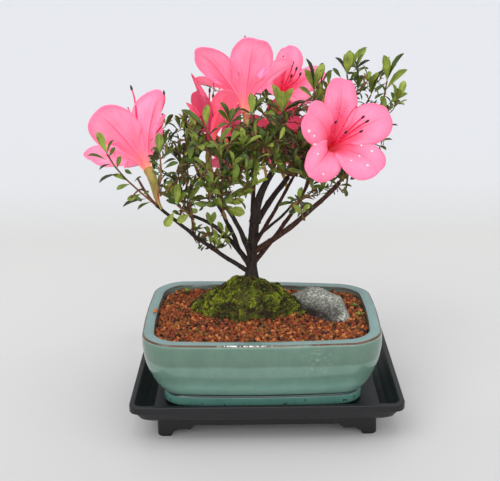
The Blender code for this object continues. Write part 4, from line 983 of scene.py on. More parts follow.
# %% Where the blooms stand
Bloom = namedtuple("Bloom", "parent along base heading rise turn length radius reach blotched full swing",
                   defaults=[1, (0, 0, 0, 0, 0)])
BLOOMS = {
    "bloom_right": Bloom("bough_right_rise", 0.86, (0.0393, 0.0078, 0.1745), -62, 32, -138, 0.0461, 0.0346,
                         (1.38, 0.89, 1.01, 0.91, 0.92), (2,), 0.15, (14, 3, 0, 0, 8)),
    "bloom_left": Bloom("bough_left_low", 0.95, (-0.0708, -0.0083, 0.1691), 122, 40, -85, 0.0377, 0.0357,
                        (0.62, 1.07, 1.03, 1.00, 1.32), (4,), 1, (0, -7, -7, 10, 5)),
    "bloom_top": Bloom("leader_left", 0.78, (-0.0082, -0.0080, 0.2053), 100, 50, 60, 0.0353, 0.0344,
                       (1.13, 0.80, 0.75, 1.00, 0.98), (0,), 1, (-9, 0, 0, 0, 0)),
    "bloom_inner": Bloom("bough_left_front", 0.93, (-0.0317, -0.0092, 0.1838), 78, 58, 36, 0.0345, 0.0235,
                         (0.72, 0.90, 1.00, 1.00, 0.96), (4,)),
    "bloom_top_back": Bloom("bough_back", 0.84, (0.0136, 0.0701, 0.1977), -80, 48, 91, 0.0343, 0.0292,
                            (1.00, 1.03, 0.55, 0.70, 0.93), (0,), 0.5),
    "bloom_back": Bloom("bough_right_back", 0.86, (0.0150, 0.0600, 0.1600), 84, 22, 0, 0.0370, 0.0304,
                        (1.00, 1.00, 1.00, 1.00, 1.00), (0,)),
    "bloom_back_left": Bloom("bough_back", 0.55, (-0.0160, 0.0360, 0.1570), 96, 24, 0, 0.0330, 0.0230,
                             (1.00, 1.00, 1.00, 1.00, 1.00), (0,)),
}
# Share of the wall from the foot to the rim, with the place there along the axis and out from it, as the full
# blooms have it that are seen from behind; the one seen from the front keeps a slender throat
COROLLA = ((0.00, 0.00, 0.07), (0.25, 0.32, 0.15), (0.50, 0.60, 0.39), (0.75, 0.84, 0.70), (1.00, 1.00, 1.00))
SLENDER = ((0.00, 0.00, 0.07), (0.25, 0.36, 0.12), (0.50, 0.68, 0.31), (0.75, 0.89, 0.63), (1.00, 1.00, 1.00))
FULL_WALL, SLENDER_WALL = smooth_rows(COROLLA, 80)[0], smooth_rows(SLENDER, 80)[0]
NOTCH = 0.74


def bloom_axes(bloom):
    """A bloom's base, its axis, the unit vector square to it that points up most, and the one beside that."""
    axis = direction(bloom.heading, bloom.rise)
    up = unit(np.array([0.0, 0.0, 1.0]) - axis * axis[2])
    return np.array(bloom.base), axis, up, np.cross(up, axis)


def lobe_ways(bloom):
    """The ways out from a bloom's axis to the tips of its lobes."""
    _, _, up, aside = bloom_axes(bloom)
    turns = np.radians(bloom.turn + 72 * np.arange(5) + np.array(bloom.swing))[:, None]
    return (up * np.cos(turns) + aside * np.sin(turns)) * bloom.radius * np.array(bloom.reach)[:, None]


def smooth_step(value):
    """0 below 0, 1 above 1 and a smooth rise between."""
    value = np.clip(value, 0, 1)
    return value * value * (3 - 2 * value)


def surface_normals(grid):
    """Unit vectors square to a grid's surface, from the cross product of its two slopes."""
    return unit(np.cross(np.gradient(grid, axis=1), np.gradient(grid, axis=0)))


PETAL_ROWS, PETAL_COLUMNS = 30, 33


def petal_grid(bloom, lobe, seed):
    """One lobe: the blended way out times the wall's spread, the rim drawn in towards the notches."""
    base, axis, _, _ = bloom_axes(bloom)
    ways = lobe_ways(bloom)
    level = np.linspace(0, 1, PETAL_ROWS)[:, None]
    across_share = np.linspace(-1, 1, PETAL_COLUMNS)[None]
    off = np.abs(across_share) * (1 + 0.26 * smooth_step((level - 0.30) / 0.4))
    share = (off / 2)[..., None]
    after = np.where(across_share[..., None] > 0, ways[(lobe + 1) % 5], ways[(lobe - 1) % 5])
    size = np.linalg.norm(ways[lobe]) * (1 - share) + np.linalg.norm(after, axis=-1, keepdims=True) * share
    way = ways[lobe] * (1 - share) + after * share
    way = way * size / np.linalg.norm(way, axis=-1, keepdims=True)
    flat = np.zeros_like(across_share)
    rim_spot = np.stack([across_share * 1.4, flat + seed * 2.7, flat], -1)
    rim = 1 - (1 - NOTCH) * off ** 2.6 + 0.022 * value_noise(rim_spot, 0.30, seed + 4)
    wall = level * (1 - (1 - rim) * level ** 1.5)
    curve = FULL_WALL * bloom.full + SLENDER_WALL * (1 - bloom.full)
    along, out = (np.interp(wall, curve[:, 0], curve[:, column])[..., None] for column in (1, 2))
    grid = base + axis * along * bloom.length + way * out
    spot = np.stack(np.broadcast_arrays(across_share * 1.5, level * 1.6, seed * 3.1), -1)
    waves = (value_noise(spot, 0.8, seed) * 0.0016 * level ** 2
             + value_noise(spot, 0.33, seed + 9) * 0.0005 * level ** 3)
    midrib = np.exp(-(across_share / 0.10) ** 2) * 0.0009 * np.sin(np.pi * level ** 0.8)
    side_lap = 0.0011 * across_share * smooth_step((level - 0.3) / 0.4)
    roll = 0.0022 * level ** 6 + 0.0012 * off ** 3 * level ** 3
    return grid + surface_normals(grid) * (waves + side_lap - midrib)[..., None] - axis * roll[..., None]


petal_uv = np.stack(np.meshgrid(np.linspace(0, 1, PETAL_ROWS), np.linspace(0, 1, PETAL_COLUMNS),
                                indexing="ij")[::-1], -1)
print("a lobe has", (PETAL_ROWS - 1) * (PETAL_COLUMNS - 1), "faces on each side")

# %% [markdown]
# A petal is salmon pink, paler towards its rim and crimson in the throat, with fine veins that fan out from
# the foot. On the piece's own map they are stripes across u, since u is the same all along a vein. The upper
# lobe carries a blotch of crimson dots. Petals are thin, so some of the light that reaches them travels under
# the skin; on top of that each petal glows with painted light, its own colour given out as emission, as if
# lit from behind. The backs of the blooms that turn away are paler at the foot, so they differ.

# %% Petal finishes
def petal_finish(name, stops, vein, vein_strength, glow, dots_colour=None):
    """A pink through stops from foot to rim, with veins, a midrib, a painted glow as if lit from behind, and
    dots.
    """
    made, tree, shader = new_finish(name, 0.50, subsurface_weight=0.15, subsurface_scale=0.0010,
                                    subsurface_radius=(1.0, 0.50, 0.60), specular_ior_level=0.25)
    flat = spot(tree, "UV")
    up_lobe = axis_of(tree, flat, "Y")
    wander = noise(tree, flat, 2.2, 3, 0.5)
    level = sum_of(tree, up_lobe, rescaled(tree, wander, (0, 1), (-0.10, 0.10)))
    patches = ramp(tree, noise(tree, flat, 5.0, 4, 0.6), (0.36, 0.40), (0.66, 0.62))
    colour = mix(tree, 0.35, tones(tree, level, *stops, smooth=True), patches, "OVERLAY")
    cells = ramp(tree, noise(tree, flat, 70.0, 3, 0.7), (0.35, 0.36), (0.65, 0.64))
    colour = mix(tree, 0.40, colour, cells, "OVERLAY")
    strayed = add_node(tree, "Mapping", {"Vector": flat, "Rotation": (0.0, 0.0, 0.06)}).outputs["Vector"]
    veins = mix(tree, 0.5, noise(tree, flat, 1.0, 5, 0.7, stretch=(24.0, 1.6, 1.0)),
                noise(tree, strayed, 1.0, 4, 0.7, stretch=(40.0, 4.0, 1.0)))
    near_foot = ramp(tree, up_lobe, (0.10, 1), (0.55, 0.45), (1.0, 0.12))
    drawn = ramp(tree, veins, (0.50, 0), (0.60, vein_strength))
    colour = mix(tree, both(tree, drawn, near_foot), colour, vein)
    aside = sum_of(tree, axis_of(tree, flat, "X"), 0.5, "SUBTRACT")
    from_middle = add_node(tree, "Math", {0: aside}, operation="ABSOLUTE").outputs[0]
    rib = ramp(tree, from_middle, (0.0, vein_strength * 1.1), (0.024, 0))
    colour = mix(tree, both(tree, rib, ramp(tree, up_lobe, (0.55, 1), (0.92, 0))), colour, vein)
    if dots_colour:
        dots = ramp(tree, noise(tree, flat, 30, 2, 0.5, stretch=(1.0, 1.3, 1.0)), (0.56, 0), (0.63, 1))
        band = ramp(tree, up_lobe, (0.24, 0), (0.34, 1), (0.60, 0.8), (0.78, 0))
        where = both(tree, ramp(tree, from_middle, (0.14, 1), (0.36, 0)), band)
        flush = ramp(tree, wander, (0.3, 0.35), (0.6, 0.62))
        colour = mix(tree, both(tree, where, flush), colour, srgb(236, 66, 112))
        colour = mix(tree, both(tree, where, dots), colour, dots_colour)
    paint(tree, shader, colour)
    # Painted light: the colour is also given out as emission, a glow that stands in for light from behind
    tree.links.new(colour, shader.inputs["Emission Color"])
    shader.inputs["Emission Strength"].default_value = glow
    bump(tree, shader, noise(tree, flat, 1.0, 5, 0.65, stretch=(26.0, 5.0, 1.0)), 0.30, 0.0006)
    return made


# Stops from foot to rim. The pale stops at the foot partly offset the shade deep in the throat: painted light
FACE = ((0.0, 242, 170, 118), (0.12, 246, 126, 112), (0.26, 244, 96, 124), (0.46, 248, 116, 150),
        (0.76, 249, 138, 172), (1.0, 250, 122, 158))
BACK = ((0.0, 250, 150, 116), (0.14, 252, 116, 124), (0.34, 252, 112, 144), (0.60, 252, 132, 166),
        (0.82, 252, 148, 182), (1.0, 252, 130, 168))
SHADE = ((0.0, 170, 28, 66), (0.25, 206, 48, 90), (0.6, 236, 80, 116), (1.0, 242, 90, 124))
CORAL = ((0.0, 250, 130, 110), (0.3, 248, 84, 108), (0.7, 250, 104, 132), (1.0, 250, 108, 140))
# Lit and shaded copies: turned has more painted glow than back, for lobes turned from the key light; deep and
# inner take the SHADE stops, painted shade; coral, the inner bloom's lit side, has more painted glow
PETAL_FINISHES = {name: petal_finish("petal_" + name, *looks) for name, looks in {
    "plain": (FACE, srgb(222, 40, 92), 0.60, 0.10),
    "blotched": (FACE, srgb(222, 40, 92), 0.60, 0.10, srgb(186, 14, 60)),
    "back": (BACK, srgb(226, 50, 88), 0.78, 0.26),
    "turned": (BACK, srgb(226, 50, 88), 0.90, 0.54),
    "deep": (SHADE, srgb(160, 16, 60), 0.60, 0.20),
    "coral": (CORAL, srgb(214, 34, 78), 0.60, 0.34),
    "inner": (SHADE, srgb(120, 8, 44), 0.75, 0.0, srgb(84, 6, 44)),
}.items()}

# %% The petals
PETAL_THICKNESS = 0.00032
INNER_SHADE_TO = 206  # lobes of the inner bloom whose rims stand left of this pixel lie in shade
TURNED_BELOW = 0.15  # lobes that face the key light less than this share are turned from it
KEY_WAY = unit(np.array(LIGHTS["key_light"][0]))


def pick_petal(name, bloom, lobe, grid):
    """The name of the finish that suits a lobe: by its bloom, its blotch and the way it faces the light."""
    if name in ("bloom_left", "bloom_top"):
        ways = surface_normals(grid)
        ways *= np.sign(((EYE - grid) * ways).sum(-1))[..., None]
        return "turned" if (ways @ KEY_WAY).mean() < TURNED_BELOW else "back"
    if name == "bloom_inner":
        return "inner" if pixels_of(grid[-1]).mean(0)[0] < INNER_SHADE_TO else "coral"
    if name in ("bloom_back", "bloom_back_left"):
        return "deep"
    return "blotched" if lobe in bloom.blotched else "plain"


petal_points = {}
for number, (name, bloom) in enumerate(BLOOMS.items()):
    groups = {}
    for lobe in range(5):
        grid = petal_grid(bloom, lobe, 7 * number + lobe)
        groups.setdefault(pick_petal(name, bloom, lobe, grid), []).append(grid)
    petal_points[name] = np.concatenate(list(groups.values()))
    for looks, grids in groups.items():
        petal_mesh = joined_mesh(name, grids, grid_faces(PETAL_ROWS, PETAL_COLUMNS), petal_uv)
        petals = add_piece(f"petals_{name[6:]}_{looks}", petal_mesh, PETAL_FINISHES[looks])
        skin = petals.modifiers.new("thickness", "SOLIDIFY")
        skin.thickness, skin.offset = PETAL_THICKNESS, 0.0
        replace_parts(petals, name)
print("petals:", sum(len(grids) for grids in petal_points.values()))

# %% [markdown]
# Five stamens and a pistil curve up out of each throat. Where the photograph shows their tips, a pixel gives
# the line of sight, and the tip lies where that line meets a plane square to the bloom's axis. The others
# fan out by a seeded rule. A filament is a thin tube along a curve that starts inside the bloom's tube.

# %% Stamens and pistils
ANTHERS_SEEN = {
    "bloom_right": ((335, 123), (345, 133), (362, 118), (366, 122), (360, 132)),
    "bloom_left": ((132, 90), (164, 95), (163, 117)), "bloom_top_back": ((296, 70), (300, 75), (291, 77)),
    "bloom_inner": ((189, 127), (193, 134)),
}
PISTILS_SEEN = {"bloom_right": (356, 107), "bloom_top": (245, 37)}
ANTHER_SHARE, PISTIL_SHARE = 1.08, 1.18


def seen_on_plane(pixel, bloom, share):
    """The point that a pixel shows on the plane square to a bloom's axis at a share of its length."""
    base, axis, _, _ = bloom_axes(bloom)
    ray = sight(pixel)
    return EYE + ray * (((base + axis * bloom.length * share - EYE) @ axis) / (ray @ axis))


def bezier(start, pull_start, pull_end, end, steps):
    """A curve from start to end by way of two pulls, weighted by the cubic Bernstein polynomials."""
    share = np.linspace(0, 1, steps + 1)[:, None]
    rest = 1 - share
    return (rest ** 3 * start + 3 * rest ** 2 * share * pull_start + 3 * rest * share ** 2 * pull_end
            + share ** 3 * end)


FILAMENT_STEPS, FILAMENT_SIDES, TIP_STEPS, TIP_SIDES = 14, 6, 7, 8
filaments, pistils = [], []
for number, (name, bloom) in enumerate(BLOOMS.items()):
    rng = np.random.default_rng(number + 70)
    base, axis, up, aside = bloom_axes(bloom)
    deep = axis * bloom.length
    tips = [seen_on_plane(pixel, bloom, ANTHER_SHARE) for pixel in ANTHERS_SEEN.get(name, ())]
    for _ in range(5 - len(tips)):
        turn, spread = rng.uniform(-1.1, 1.1), bloom.radius * rng.uniform(0.15, 0.42)
        out = (up * math.cos(turn) + aside * math.sin(turn)) * spread
        tips.append(base + deep * rng.uniform(0.86, 1.10) + out)
    pistil = PISTILS_SEEN.get(name)
    tips.append(seen_on_plane(pistil, bloom, PISTIL_SHARE) if pistil
                else base + deep * PISTIL_SHARE + up * bloom.radius * 0.30)
    for index, tip in enumerate(tips):
        root = base + deep * 0.12
        bow = rng.normal(0, 0.0008, 3)
        path = bezier(root, root + deep * 0.55 - up * 0.0015, tip - deep * 0.30 + bow, tip, FILAMENT_STEPS)
        (pistils if index == 5 else filaments).append(path)


def joined_tubes(name, tube_paths, radii, sides, finish, slot, *nodes):
    """Many tubes of one count of points, joined into one piece."""
    skins = tube_grid(np.asarray(tube_paths), radii, sides)
    mesh = close_ends(joined_mesh(name, skins, grid_faces(skins.shape[1], sides, wrap=True)))
    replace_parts(add_piece(name, mesh, finish), *nodes)


def plain_finish(name, roughness, tints, scale, relief=0.3, **sockets):
    """A finish of a few tones in soft patches with fine relief."""
    made, tree, shader = new_finish(name, roughness, **sockets)
    stops = [(float(place), *tint) for place, tint in zip(np.linspace(0.34, 0.68, len(tints)), tints)]
    paint(tree, shader, tones(tree, noise(tree, spot(tree), scale, 4, 0.6), *stops))
    bump(tree, shader, noise(tree, spot(tree), scale * 9, 3), relief, 0.0002)
    return made


def beyond_tips(tubes, start, end):
    """Short straight paths over the tips of tubes, along their last steps."""
    tubes = np.array(tubes)
    run = unit(tubes[:, -1] - tubes[:, -3])
    return tubes[:, -1][:, None] + run[:, None] * np.linspace(start, end, TIP_STEPS)[:, None]


filament_red = plain_finish("filament", 0.45, [(226, 26, 78), (248, 84, 124)], 300)
anther_dark = plain_finish("anther", 0.6, [(34, 14, 26), (78, 32, 50)], 900)
stigma_red = plain_finish("stigma", 0.35, [(150, 22, 48), (186, 44, 70)], 600)
thread, style = (np.linspace(*ends, FILAMENT_STEPS + 1) for ends in ((0.00078, 0.00050), (0.00048, 0.00032)))
swell = np.sin(np.linspace(0.06, math.pi - 0.06, TIP_STEPS)) ** 0.6
for title, tube_paths, radii, sides, finish in (
        ("filaments", filaments, thread, FILAMENT_SIDES, filament_red),
        ("styles", pistils, style, FILAMENT_SIDES, filament_red),
        ("anthers", beyond_tips(filaments, -0.0010, 0.0034), swell * 0.00078, TIP_SIDES, anther_dark),
        ("stigmas", beyond_tips(pistils, -0.0002, 0.0009), swell * 0.00060, TIP_SIDES, stigma_red)):
    joined_tubes(title, tube_paths, radii, sides, finish, "petal", *BLOOMS)
print("stamens:", len(filaments), "pistils:", len(pistils))

# %% [markdown]
# Each bloom sits on a short stalk that leaves its limb by the solids' rule. The scales of the old flower bud
# still wrap the stalk as a papery yellow-green sheath, and five short sepals hold the foot of the petals. All
# of that is one tube here: it swells and flares by a profile, and five soft flutes turn slowly round it.

# %% Stalks, sheaths and sepals
CALYX_LENGTH, STALK_STEPS = 0.0035, 18


def stalk_path(bloom):
    """From inside the limb to the foot of the bloom, leaving along the limb and arriving along the axis."""
    parent = paths[bloom.parent]
    start = point_along(parent, bloom.along)
    run = point_along(parent, min(1.0, bloom.along + 0.05)) - point_along(parent, bloom.along - 0.05)
    base, axis, _, _ = bloom_axes(bloom)
    reach = np.linalg.norm(base - start)
    run = unit(unit(run) + 1.3 * (base - start) / reach)
    collar = base - axis * CALYX_LENGTH
    arc = bezier(start, start + run * reach * 0.30, collar - axis * reach * 0.30, collar, STALK_STEPS)
    return np.vstack([arc, base - axis * 0.0012, base + axis * 0.0012])


SHEATH = ((0.0, 0.0013), (0.22, 0.0014), (0.42, 0.0020), (0.66, 0.0027), (0.86, 0.0032), (0.92, 0.0028),
          (0.96, 0.0031), (1.0, 0.0034))
STALK_SIDES, BUD_SIDES = 15, 10
shares = np.linspace(0, 1, STALK_STEPS + 3)
stalk_paths = np.array([stalk_path(bloom) for bloom in BLOOMS.values()])
ripple = 1 + 0.06 * np.cos(5 * 2 * np.pi * np.arange(STALK_SIDES) / STALK_SIDES + 4 * shares[:, None])
girths = np.array([1.0 if name == "bloom_left" else 0.66 for name in BLOOMS])[:, None, None]
stalk_radii = girths * np.interp(shares, *zip(*SHEATH))[:, None] * ripple
sheath_green = plain_finish("sheath", 0.6, [(122, 120, 48), (158, 148, 74), (186, 142, 84), (178, 84, 56)],
                            150, subsurface_weight=0.15)
joined_tubes("stalks", stalk_paths, stalk_radii, STALK_SIDES, sheath_green, "leaf", *BLOOMS)

# The slim bud beside the inner bloom rises from that bloom's foot through three pixels
BUD_SEEN, BUD_DEPTH = ((206, 104), (200, 90), (191, 73)), -0.020
BUD_GIRTH = ((0, 0.0008), (0.32, 0.0008), (0.44, 0.0020), (0.66, 0.0020), (0.9, 0.0010), (1, 0.0002))
bud_way = [BLOOMS["bloom_inner"].base, *(seen_deep(pixel, BUD_DEPTH) for pixel in BUD_SEEN)]
bud_path, bud_share = smooth_rows(bud_way, FILAMENT_STEPS + 1)
bud_radii = np.interp(bud_share, *zip(*BUD_GIRTH))
bud_red = plain_finish("bud", 0.5, [(196, 32, 70), (236, 84, 122), (214, 50, 90)], 260,
                       subsurface_weight=0.15)
joined_tubes("bud", [bud_path], bud_radii, BUD_SIDES, bud_red, "petal", "bloom_inner")
print("stalks:", len(stalk_paths))

# %% Dew on the front bloom
DROPS_SEEN = ((315, 136), (316, 143), (318, 152), (360, 145), (361, 155), (351, 159), (367, 165), (324, 173),
              (309, 130), (372, 150))
DROP_NEAR = 2.5  # how near a drop's pixel a point of the petals must show
rng = np.random.default_rng(12)
petal_spots = petal_points["bloom_right"]
petal_ways = np.array([surface_normals(grid) for grid in petal_spots]).reshape(-1, 3)
petal_spots = petal_spots.reshape(-1, 3)
petal_ways *= -np.sign((petal_ways * (petal_spots - EYE)).sum(1))[:, None]
petal_pixels, petal_far = pixels_of(petal_spots), (petal_spots - EYE) @ ahead
work = bmesh.new()
bmesh.ops.create_icosphere(work, subdivisions=3, radius=1.0)
drop = np.array([vert.co[:] for vert in work.verts])
drop_faces = np.array([[vert.index for vert in face.verts] for face in work.faces])
work.free()
drops = []
for pixel in DROPS_SEEN:
    near = np.linalg.norm(petal_pixels - pixel, axis=1) < DROP_NEAR
    pick = np.flatnonzero(near)[np.argmin(petal_far[near])]
    way = petal_ways[pick]
    side = unit(np.cross(way, (0.0, 0.0, 1.0)))
    axes = np.stack([side, np.cross(way, side), way * 0.62])
    drops.append(petal_spots[pick] + drop @ axes * rng.uniform(0.0007, 0.0011) + way * 0.0004)
# The drops are painted near white: painted highlights in place of what clear water reflects
dew = plain_finish("dew", 0.02, [(255, 228, 240), (255, 250, 252)], 200, relief=0.0, transmission_weight=0.25)
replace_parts(add_piece("dew", joined_mesh("dew", drops, drop_faces), dew), "bloom_right")
print("drops:", len(drops))

# %% [markdown]
# The foliage grows by the solids' rule. From each bough's tip a stem runs into an egg-shaped space, and twigs
# reach from the nearest twig before them to tips that are seeded far apart in that space. Here the rule is
# carried on to many more tips. A twig or leaf that would leave the space, or stand in a bloom or in front of
# its mouth, is skipped, as a grower pinches out a shoot that hides a flower. So is a leaf that would touch a
# limb, and whatever would close a gap through which the photograph shows the sky.

# %% Where leaves may grow
Mass = namedtuple("Mass", "bough centre size tips seed")
MASSES = {
    "foliage_top": Mass("leader_left", (0.002, -0.014, 0.197), (0.028, 0.022, 0.026), 44, 11),
    "foliage_top_back": Mass("leader_right", (0.026, 0.030, 0.192), (0.026, 0.022, 0.036), 30, 12),
    "foliage_right": Mass("bough_right_low", (0.066, 0.014, 0.199), (0.034, 0.024, 0.050), 22, 13),
    "foliage_right_inner": Mass("bough_right_rise", (0.026, 0.004, 0.190), (0.023, 0.022, 0.037), 46, 14),
    "foliage_right_back": Mass("bough_right_back", (0.043, 0.056, 0.168), (0.030, 0.026, 0.034), 36, 15),
    "foliage_front": Mass("bough_front", (0.026, -0.038, 0.157), (0.015, 0.013, 0.013), 4, 16),
    "foliage_left": Mass("bough_left_low", (-0.081, -0.017, 0.172), (0.033, 0.021, 0.032), 24, 17),
    "foliage_left_rise": Mass("bough_left_rise", (-0.046, -0.014, 0.188), (0.021, 0.021, 0.025), 54, 18),
    "foliage_left_front": Mass("bough_left_front", (-0.021, -0.038, 0.184), (0.021, 0.018, 0.034), 54, 19),
    "foliage_left_back": Mass("bough_left_back", (-0.050, 0.040, 0.160), (0.032, 0.025, 0.040), 52, 20),
    "foliage_left_low": Mass("bough_left_spur", (-0.034, 0.002, 0.119), (0.015, 0.012, 0.012), 7, 21),
    "foliage_back": Mass("bough_back", (-0.013, 0.062, 0.184), (0.032, 0.025, 0.038), 40, 22),
}
# Shoots that the photograph shows clearly: their mass, the pixels of their stem, its depth, and for each leaf
# the pixel of its tip, the width seen in pixels and, where it isn't the stem's end, the pixel of its foot
Shoot = namedtuple("Shoot", "mass stem depth leaves")
SEEN = (
    Shoot("foliage_right", ((350, 98), (347, 75)), 0.010, (
        (350, 50, 9), (345, 54, 7), (363, 44, 4.5), (369, 58, 2.2, 353, 72), (339, 55, 2),
        (333, 68, 4, 341, 78), (357, 72, 4, 350, 79), (366, 81, 4, 359, 95), (331, 71, 4.5, 328, 86))),
    Shoot("foliage_right", ((380, 108), (384, 97), (387, 81)), 0.012, (
        (384, 55, 8), (389, 59, 7), (401, 51, 4), (393, 63, 3), (405, 67, 6.5, 386, 90),
        (406, 91, 5.5, 388, 105), (375, 92, 4, 386, 83), (374, 98, 3, 385, 93), (381, 96, 6, 387, 107),
        (398, 124, 1.5, 388, 126), (392, 137, 1.5, 380, 142))),
    Shoot("foliage_right", ((366, 108), (371, 95)), 0.014, (
        (370, 75, 6), (378, 72, 7), (379, 67, 1.5), (376, 80, 5))),
    Shoot("foliage_right", ((345, 192), (338, 186)), -0.010, (
        (320, 186, 2.5, 332, 190), (347, 197, 4, 344, 186), (352, 184, 2.5), (328, 178, 3))),
    Shoot("foliage_right_inner", ((276, 152), (280, 132), (282, 113)), -0.006, (
        (274, 84, 7.5), (283, 91, 8), (293, 88, 7), (265, 100, 2.5), (297, 102, 3), (304, 96, 1.5),
        (264, 112, 6, 277, 117), (303, 113, 2, 284, 117))),
    Shoot("foliage_right_inner", ((316, 112), (315, 101), (314, 90)), 0.010, (
        (305, 69, 7), (323, 63, 8.5), (300, 86, 4.5, 313, 98), (311, 57, 1.5), (322, 95, 3, 316, 102))),
    Shoot("foliage_top", ((254, 138), (252, 115)), -0.024, (
        (251, 93, 7.5), (264, 95, 4), (240, 107, 2), (258, 99, 3), (262, 118, 3, 253, 122))),
    Shoot("foliage_left_front", ((213, 144), (208, 132)), -0.042, (
        (184, 106, 4), (207, 105, 7, 206, 126), (217, 127, 2, 209, 136))),
    Shoot("foliage_left_front", ((234, 140), (230, 123)), -0.038, (
        (223, 101, 4), (218, 110, 4.5), (233, 108, 6), (239, 106, 2.5), (217, 126, 3), (243, 117, 3))),
    Shoot("foliage_left_front", ((222, 158), (217, 149)), -0.042, (
        (230, 126, 4.5), (205, 142, 3), (211, 138, 3))),
    Shoot("foliage_left_front", ((222, 202), (227, 209)), -0.030, (
        (245, 213, 10), (253, 189, 8, 224, 199), (244, 200, 7, 226, 203), (206, 205, 6, 222, 203),
        (220, 184, 6, 222, 198), (206, 184, 6, 219, 182))),
    Shoot("foliage_left_front", ((238, 176), (243, 167)), -0.036, (
        (244, 152, 8.5), (232, 154, 7, 237, 168), (252, 158, 5))),
    Shoot("foliage_left", ((156, 205), (139, 191), (119, 172), (107, 154)), -0.024, (
        (97, 132, 8), (112, 139, 2.5), (115, 147, 4, 109, 157), (88, 152, 2.5, 106, 160),
        (121, 156, 5, 117, 168), (98, 168, 2.2, 111, 164), (97, 179, 2.2, 118, 174),
        (113, 174, 4.5, 128, 181), (125, 170, 4, 132, 174), (116, 189, 4.5, 130, 184),
        (127, 200, 5.5, 141, 194), (121, 203, 2.2, 146, 199), (136, 208, 3, 151, 202),
        (141, 176, 1.8, 134, 182), (149, 191, 3, 143, 194))),
    Shoot("foliage_left_rise", ((160, 196), (161, 176), (160, 154)), -0.026, (
        (159, 133, 8.5), (166, 136, 3), (153, 147, 3.5), (148, 154, 2, 159, 160), (150, 160, 3, 160, 166),
        (175, 157, 2, 162, 165), (177, 161, 4, 164, 169), (177, 172, 2.5, 162, 176),
        (172, 150, 2.5, 161, 158), (152, 171, 3, 160, 176), (174, 181, 3, 161, 185))),
    Shoot("foliage_front", ((293, 208), (298, 203)), -0.032, (
        (302, 187, 5), (277, 204, 3.5), (288, 196, 3), (315, 206, 4), (311, 214, 3.5), (300, 218, 3),
        (308, 194, 3))),
    Shoot("foliage_left_low", ((191, 215), (184, 211), (177, 205)), -0.014, (
        (178, 184, 8), (160, 190, 4), (165, 227, 9, 174, 212), (177, 222, 8, 190, 214), (166, 200, 4),
        (186, 192, 5))),
    Shoot("foliage_left_low", ((192, 216), (191, 208), (189, 201)), -0.010, (
        (199, 186, 5.5), (180, 190, 4), (207, 205, 6, 192, 203), (197, 213, 6, 192, 208), (204, 195, 4))),
    Shoot("foliage_left_low", ((213, 232), (211, 225)), 0.000, (
        (207, 212, 5.5), (215, 212, 6), (190, 230, 4, 204, 228), (218, 222, 5, 224, 230))),
    Shoot("foliage_left_low", ((216, 240), (209, 236)), 0.002, (
        (200, 232, 3.5), (200, 238, 3), (207, 226, 4.5), (215, 231, 3), (214, 242, 7), (222, 245, 6.5),
        (198, 249, 3, 203, 244), (230, 243, 5, 224, 238), (234, 232, 3, 226, 238), (201, 251, 2, 205, 246))),
)
stems_seen = [np.array([seen_deep(pixel, shoot.depth) for pixel in shoot.stem]) for shoot in SEEN]
# Ovals of open sky in the photograph, their middles and half sizes in pixels
OPENINGS = ((85, 208, 33, 40), (40, 170, 47, 90), (132, 182, 11, 8), (176, 88, 15, 22), (141, 217, 22, 13),
            (172, 244, 20, 14), (400, 152, 13, 46), (376, 192, 30, 17), (330, 52, 10, 13), (375, 58, 7, 14),
            (416, 62, 9, 60), (286, 186, 22, 9), (264, 198, 9, 14), (336, 208, 26, 10), (149, 184, 7, 17),
            (170, 164, 8, 8), (205, 156, 4, 5), (200, 193, 5, 5), (238, 188, 4, 4), (300, 118, 6, 3),
            (263, 122, 5, 4), (292, 126, 5, 3), (193, 172, 4, 4), (168, 205, 7, 5), (208, 217, 10, 8),
            (214, 162, 5, 5), (212, 255, 11, 6), (226, 260, 8, 5), (186, 241, 8, 5), (177, 232, 6, 5),
            (120, 197, 10, 9))
TWIG_EDGE, LEAF_EDGE = 1.12, 1.40
# How much of each bloom's face the photograph shows clear of leaves, as a share of its radius
SHOWN = {"bloom_right": 1.02, "bloom_left": 0.92, "bloom_top": 0.74, "bloom_inner": 0.74,
         "bloom_top_back": 0.66, "bloom_back": 0.0, "bloom_back_left": 0.0}


def share_of(points, mass):
    """Distance from a mass's middle as a share of its size: 1 on the edge of its egg."""
    return np.linalg.norm((points - np.array(mass.centre)) / np.array(mass.size), axis=-1)


def owned(points, name, edge):
    """Whether each point is inside a mass's egg and nearer to its middle than to any other mass's."""
    own = share_of(points, MASSES[name])
    rest = np.min([share_of(points, mass) for other, mass in MASSES.items() if other != name], axis=0)
    return (own < edge) & (own < rest)


def in_bloom(points, bloom, clear):
    """Whether each point lies in the round space of a bloom, out to its lobes."""
    base, axis, _, _ = bloom_axes(bloom)
    offset = points - base
    along = offset @ axis
    out = np.linalg.norm(offset - along[..., None] * axis, axis=-1)
    share = along / bloom.length
    inner = bloom.radius * np.interp(share, [row[1] for row in COROLLA], [row[2] for row in COROLLA]) + clear
    return (share > -0.10) & (share < 1.08) & (out < inner)


def hides_bloom(points, name):
    """Whether each point stands before a bloom's face, on the lines of sight from the camera to it."""
    bloom = BLOOMS[name]
    base, axis, _, _ = bloom_axes(bloom)
    line = base + axis * bloom.length * 0.72 - EYE
    far = np.linalg.norm(line)
    offset = points - EYE
    along = offset @ (line / far)
    aside = np.linalg.norm(offset - along[..., None] * line / far, axis=-1) * far / along
    return (along < far - 0.004) & (aside < bloom.radius * SHOWN[name])


def free(points, clear):
    """Whether no point of a shape, on the last axis but one, is in a bloom, hides one or is in open sky."""
    blocked = np.zeros(points.shape[:-1], bool)
    for name, bloom in BLOOMS.items():
        blocked |= in_bloom(points, bloom, clear)
        if SHOWN[name]:
            blocked |= hides_bloom(points, name)
    pixels = pixels_of(points)
    for x, y, half_x, half_y in OPENINGS:
        blocked |= np.hypot((pixels[..., 0] - x) / half_x, (pixels[..., 1] - y) / half_y) < 1
    return ~blocked.any(-1)


limb_tree = BVHTree.FromPolygons(*(array.tolist() for array in stacked(skins_of.values())))
print("masses:", len(MASSES))


